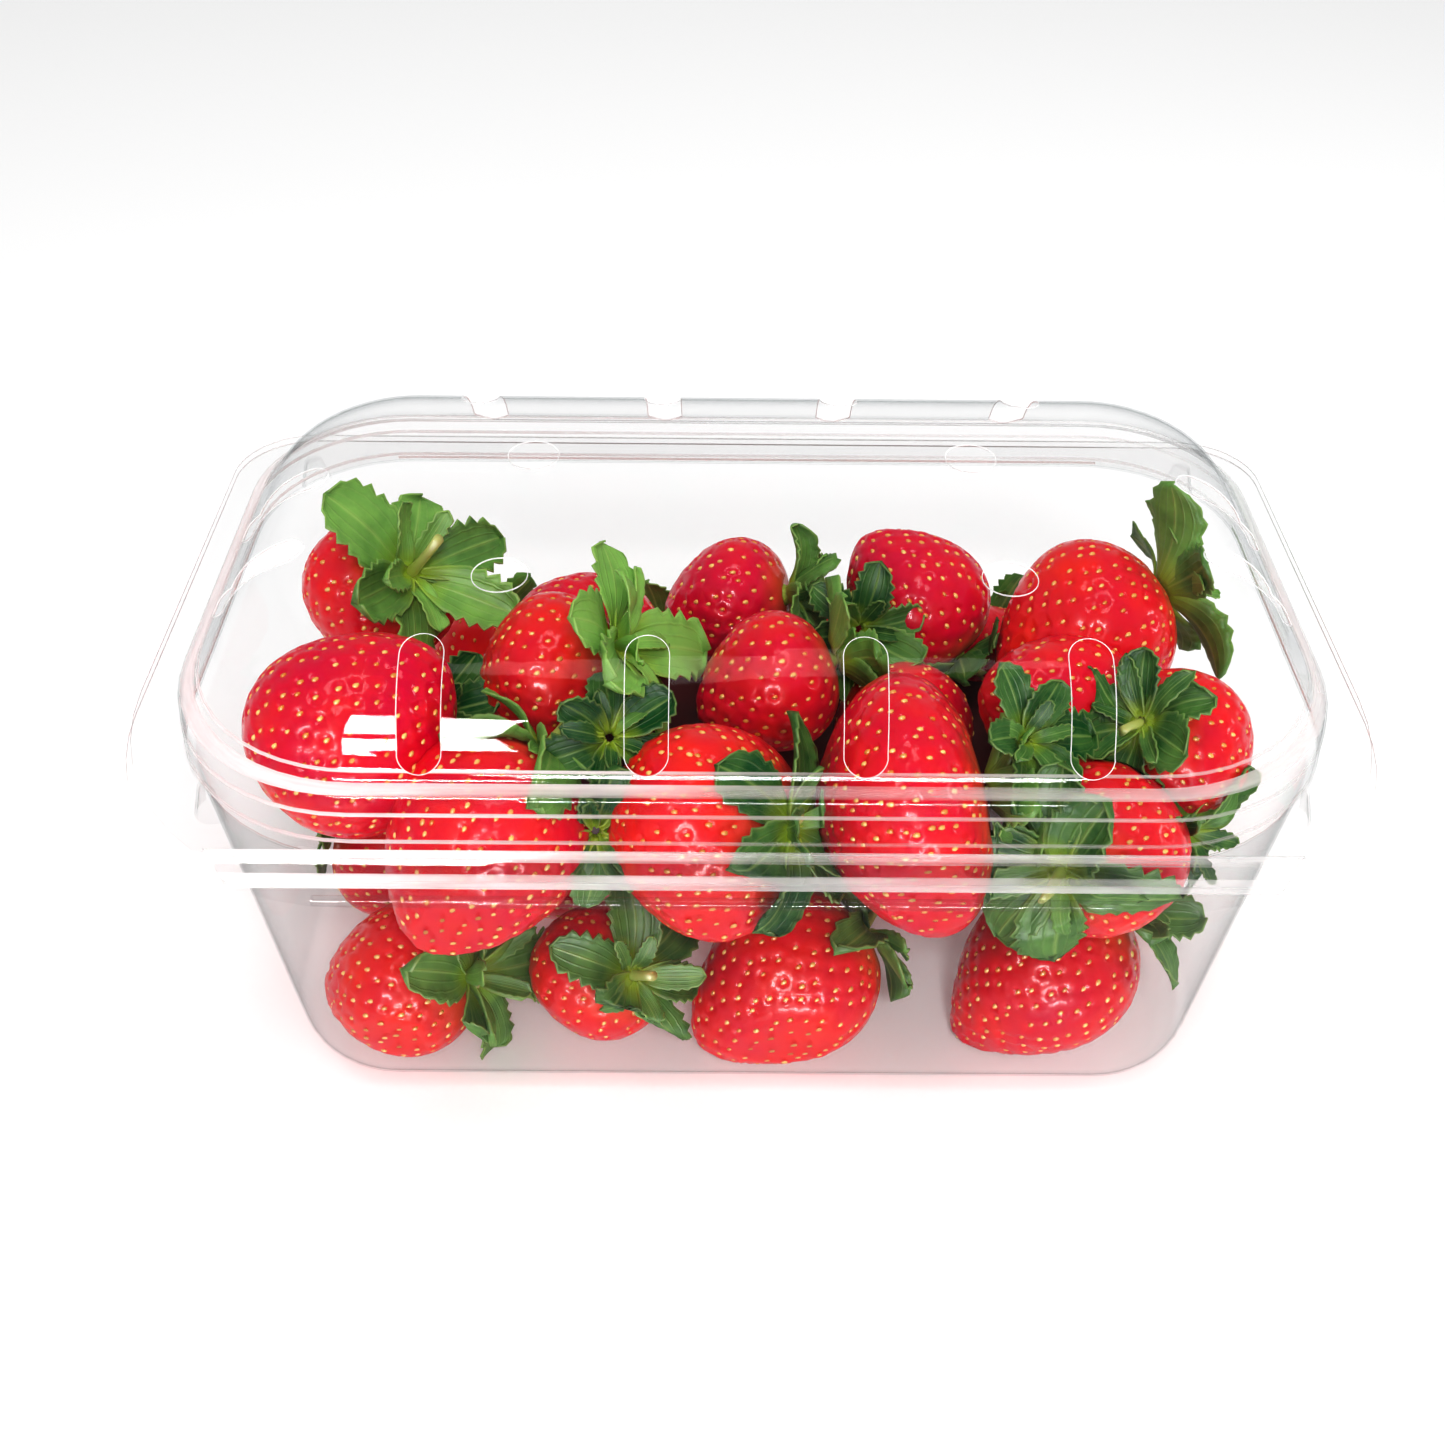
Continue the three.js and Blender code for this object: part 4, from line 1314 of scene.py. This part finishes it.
def leaf_shape(length, breadth, draw):
    """A leaf along +Y with its foot at the origin and its upper face towards +Z."""
    along, across = LEAF_ALONG, LEAF_ACROSS
    oval = np.sqrt(np.clip(along * (1 - along), 0, 1)) * 2
    outline = 0.5 * breadth * length * np.maximum(oval * (0.5 + 0.7 * along), LEAF_FOOT * (along < 0.3))
    tooth = 1 - (along * TEETH + draw.uniform(0, 1)) % 1
    cut = draw.uniform(*TOOTH_CUT) * tooth * np.clip((along - 0.35) * 4, 0, 1)
    out = across * outline * (1 - cut * across**4)
    cup = draw.uniform(*CUP) * breadth * length * across**2 * 0.5
    wave = draw.uniform(*WAVE) * length * np.sin(2.4 * math.pi * along) * across * 0.5
    arch = draw.uniform(*ARCH) * length * np.sin(math.pi * along * 0.85)
    curl = draw.normal(*CURL) * length * along**2.5
    twist = draw.normal(*TWIST) * along
    lift = cup + wave
    side = draw.normal(*SIDEWAYS) * length * along**2
    return np.stack([
        out * np.cos(twist) - lift * np.sin(twist) + side,
        along * length,
        out * np.sin(twist) + lift * np.cos(twist) + arch + curl,
    ], axis=1)


print("vertices of a leaf:", len(leaf_points))

# %% [markdown]
# ## Leaves that drape
# A leaf lies on the fruit round it. So a point that would sink a little way into a berry is moved out to
# just over its skin, along the line from the berry's middle. A point that lies deep inside is left alone,
# as it belongs to a leaf that passes behind.

# %% Leaves that drape
LEAF_GAP = 0.45
DEEPEST = 0.62
REACH = [side_table(row) for row in BERRIES]
PLACES = [berry_matrix(row) for row in BERRIES]


def lift_off(points):
    """Moves points that lie just inside a berry out to its surface."""
    for row, (off_axis, _, reach), matrix in zip(BERRIES, REACH, PLACES):
        local = moved(points, matrix.inverted())
        far = np.linalg.norm(local, axis=1)
        if far.min() > row.width:
            continue
        angle = np.arctan2(np.hypot(local[:, 0], local[:, 1]), local[:, 2])
        wanted = np.interp(angle, off_axis, reach) + LEAF_GAP
        sunk = (far < wanted) & (far > DEEPEST * wanted)
        local[sunk] *= (wanted / np.maximum(far, TINY))[sunk, None]
        points = moved(local, matrix)
    return points


print("berries to drape over:", len(REACH))

# %% [markdown]
# ## Crowns
# A crown has two rounds of leaves: broad ones that spread over the fruit, and narrower, paler ones that
# stand up between them. Length and breadth are drawn from a range, as shares of the crown's longest leaf
# and of the leaf's own length. A few more crowns, of berries that lie behind, fill the gaps of the heap.

# %% Crowns
Round = namedtuple("Round", "count length breadth offset paler")
BROAD = Round(6, (0.8, 1.08), (0.62, 0.88), 0, 0)
NARROW = Round(5, (0.55, 0.8), (0.36, 0.5), 0.5, 0.1)
BROAD_RISES = (7, -5)
RISE_SPREAD = 6
NARROW_RISES = (14, 38)
TURN_SPREAD = 0.12
SHADE_SPREAD = 0.1
LEAF_OUT = 0.8
PART_GAP = 0.2


def crown_at(stand, longest, lift, pale, seed, drape=True):
    """The leaves of one crown, each as points with its own shade of green."""
    draw = np.random.default_rng(seed)
    leaves = []
    for k in range(BROAD.count + NARROW.count):
        leaf = BROAD if k < BROAD.count else NARROW
        length = longest * draw.uniform(*leaf.length)
        breadth = draw.uniform(*leaf.breadth)
        if leaf is NARROW:
            raised = lift + draw.uniform(*NARROW_RISES)
        else:
            raised = lift + draw.normal(BROAD_RISES[k % 2], RISE_SPREAD)
        turn = (k + leaf.offset) * 2 * math.pi / leaf.count + seed + draw.normal(0, TURN_SPREAD)
        pose = (
            stand @ Matrix.Rotation(turn, 4, "Z") @ Matrix.Translation((0, LEAF_OUT, 0))
            @ Matrix.Rotation(math.radians(raised), 4, "X")
        )
        points = moved(leaf_shape(length, breadth, draw), pose)
        points = press_in(lift_off(points) if drape else points, PART_GAP)
        leaves.append((points, np.clip(pale + draw.normal(leaf.paler, SHADE_SPREAD), 0, 1)))
    return leaves


print("leaves of a crown:", BROAD.count + NARROW.count)

# %% [markdown]
# ## Leaves
# Each berry with leaves gets its crown. All leaves are joined in two pieces, and Solidify gives them their
# thickness at the very end, so that their attributes stay as they are.

# %% Leaves
CROWN_SINK = 1.2
LEAF_SHEET = 0.3
EXTRA_CROWNS = (20, 21, 22, 24, 28, 30, 32)
EXTRA_LENGTH = 12
# The place of each tuft, the compass angle and the rise of its axis, its longest leaf, lift and paleness.
TUFTS = [
    ((-52, -10, 56), -60, 40, 12, 10, 0.1),
    ((-24, -32, 52), -80, 25, 12, 5, 0.12),
    ((-22, -22, 62), -70, 60, 11, 5, 0.1),
    ((41, -26, 66), -60, 45, 12, 15, 0.2),
    ((69, -26, 47), -50, 15, 14, 5, 0.15),
    ((19, 12, 57), -80, 30, 12, 10, 0.3),
]
TUFT_SEED = 100

made = []
for number, row in enumerate(BERRIES):
    longest = EXTRA_LENGTH if number in EXTRA_CROWNS else row.leaves
    if longest:
        stand = PLACES[number] @ Matrix.Translation((0, 0, crown_height(row) - CROWN_SINK))
        made += crown_at(stand, longest, row.lift, row.pale, number)
for number, (place, compass, rise, longest, lift, pale) in enumerate(TUFTS):
    stand = stand_at(place, heading(compass, rise))
    made += crown_at(stand, longest, lift, pale, TUFT_SEED + number, drape=False)
half = len(made) // 2
for name, share in (("leaves_top", made[:half]), ("leaves_front", made[half:])):
    leaves = join_parts(name, [(points, *leaf_faces) for points, _ in share], {
        "along": [LEAF_ALONG] * len(share),
        "across": [LEAF_ACROSS] * len(share),
        "shade": [np.full(len(LEAF_ALONG), shade) for _, shade in share],
    })
    blade = leaves.modifiers.new("blade", "SOLIDIFY")
    blade.thickness = LEAF_SHEET * MM
    blade.offset = 0
    put_in_heap(leaves, leaf_green)

# %% [markdown]
# ## Stalks
# Each crown has a short cut stalk that widens to a small disc between the leaves. A circle is extruded up
# through a few levels and capped. Each copy has its own length and leans over to its own side. The four that
# show best are listed, as (lean in millimetres, stretch), and the others are drawn.

# %% Stalks
STALK_LEVELS = [(2.5, 0), (1.7, 0.5), (1.05, 1.3), (0.85, 2.6), (0.8, 4.2), (0.9, 5.4)]
STALK_LEANS = {
    0: ((2.0, 2.5, 3.0), 1.5), 3: ((6, -2, 0), 1.7), 9: ((3, 2, 2), 1.3), 12: ((-1, -4, -1), 1.2),
}
STALK_SIDES = 10
STALK_SINK = 1.4
LEAN_SPREAD = 1.2
STALK_STRETCH = (0.6, 1.2)
STALK_SEED = 5000

stalk_green, tree, shader = new_finish(
    "strawberry stalk, green", {"Roughness": 0.5, "Subsurface Weight": 0.1, "Subsurface Scale": 0.001}
)
height = add(tree, "Attribute", attribute_name="along").outputs["Fac"]
greens = {0: height, 6: linear("#9DB03A"), 7: linear("#C9CC7C")}
tree.links.new(add(tree, "Mix", greens, data_type="RGBA").outputs[2], shader.inputs["Base Color"])

bm = bmesh.new()
bmesh.ops.create_circle(bm, segments=STALK_SIDES, radius=STALK_LEVELS[0][0])
edges = bm.edges[:]
for (before, low), (radius, high) in zip(STALK_LEVELS, STALK_LEVELS[1:]):
    edges, ring = extrude_ring(bm, edges)
    bmesh.ops.scale(bm, vec=(radius / before, radius / before, 1), verts=ring)
    bmesh.ops.translate(bm, vec=(0, 0, high - low), verts=ring)
bmesh.ops.contextual_create(bm, geom=edges)
bmesh.ops.holes_fill(bm, edges=[edge for edge in bm.edges if edge.is_boundary])
bmesh.ops.recalc_face_normals(bm, faces=bm.faces)
stalk_points, *stalk_faces = form_of(bm)
stalk_share = np.clip(stalk_points[:, 2] / STALK_LEVELS[-1][1], 0, 1)
parts = []
for number, row in enumerate(BERRIES):
    if not row.leaves:
        continue
    draw = np.random.default_rng(STALK_SEED + number)
    drawn = draw.normal(0, LEAN_SPREAD, 3), draw.uniform(*STALK_STRETCH)
    lean, stretch = STALK_LEANS.get(number, drawn)
    stand = PLACES[number] @ Matrix.Translation((0, 0, crown_height(row) - STALK_SINK))
    points = moved(stalk_points * (1, 1, stretch), stand) + np.outer(stalk_share**2, lean)
    parts.append((press_in(points, PART_GAP), *stalk_faces))
stalks = join_parts("stalks", parts, {"along": [stalk_share] * len(parts)})
put_in_heap(stalks, stalk_green)

# %% [markdown]
# ## Deep in the heap
# Between the berries one looks into shade. A dark rounded core stands in the middle, so that no light falls
# through the heap where the fruit would be packed close. Its dark reds are painted shade, which stands for
# the fruit in shade deep in the heap. Its lumps are some 17 mm wide.

# %% Core
CORE_HALF = (60, 18, 15)
CORE_MIDDLE = (0, 4, 27)
CORE_ROUNDING = 9
CORE_STEPS = 5
LUMP_WAVES = 60.0

core_painted_shade, tree, shader = new_finish("fruit in painted shade", {"Roughness": 0.6})
place = add(tree, "TexCoord").outputs["Object"]
lumps = add(tree, "TexNoise", {"Vector": place, "Scale": LUMP_WAVES, "Detail": 2.0}).outputs[0]
# Painted shade: near-black reds that stand for shaded fruit deep in the heap.
painted_shade_reds = {0: lumps, 6: linear("#2A0206"), 7: linear("#6A0A10")}
tree.links.new(add(tree, "Mix", painted_shade_reds, data_type="RGBA").outputs[2], shader.inputs["Base Color"])

bm = bmesh.new()
bmesh.ops.create_cube(bm, size=2)
bmesh.ops.scale(bm, vec=CORE_HALF, verts=bm.verts)
bevel_edges(bm, bm.edges[:], CORE_ROUNDING, CORE_STEPS)
bmesh.ops.translate(bm, vec=CORE_MIDDLE, verts=bm.verts)
core = to_object(bm, "heap_core")
put_in_heap(core, core_painted_shade)
print("core triangles:", triangles([core]))

# %% Finish
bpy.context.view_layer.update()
pieces = [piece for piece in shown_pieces() if piece.type == "MESH"]
print("pieces:", len(pieces), "triangles:", triangles(pieces))
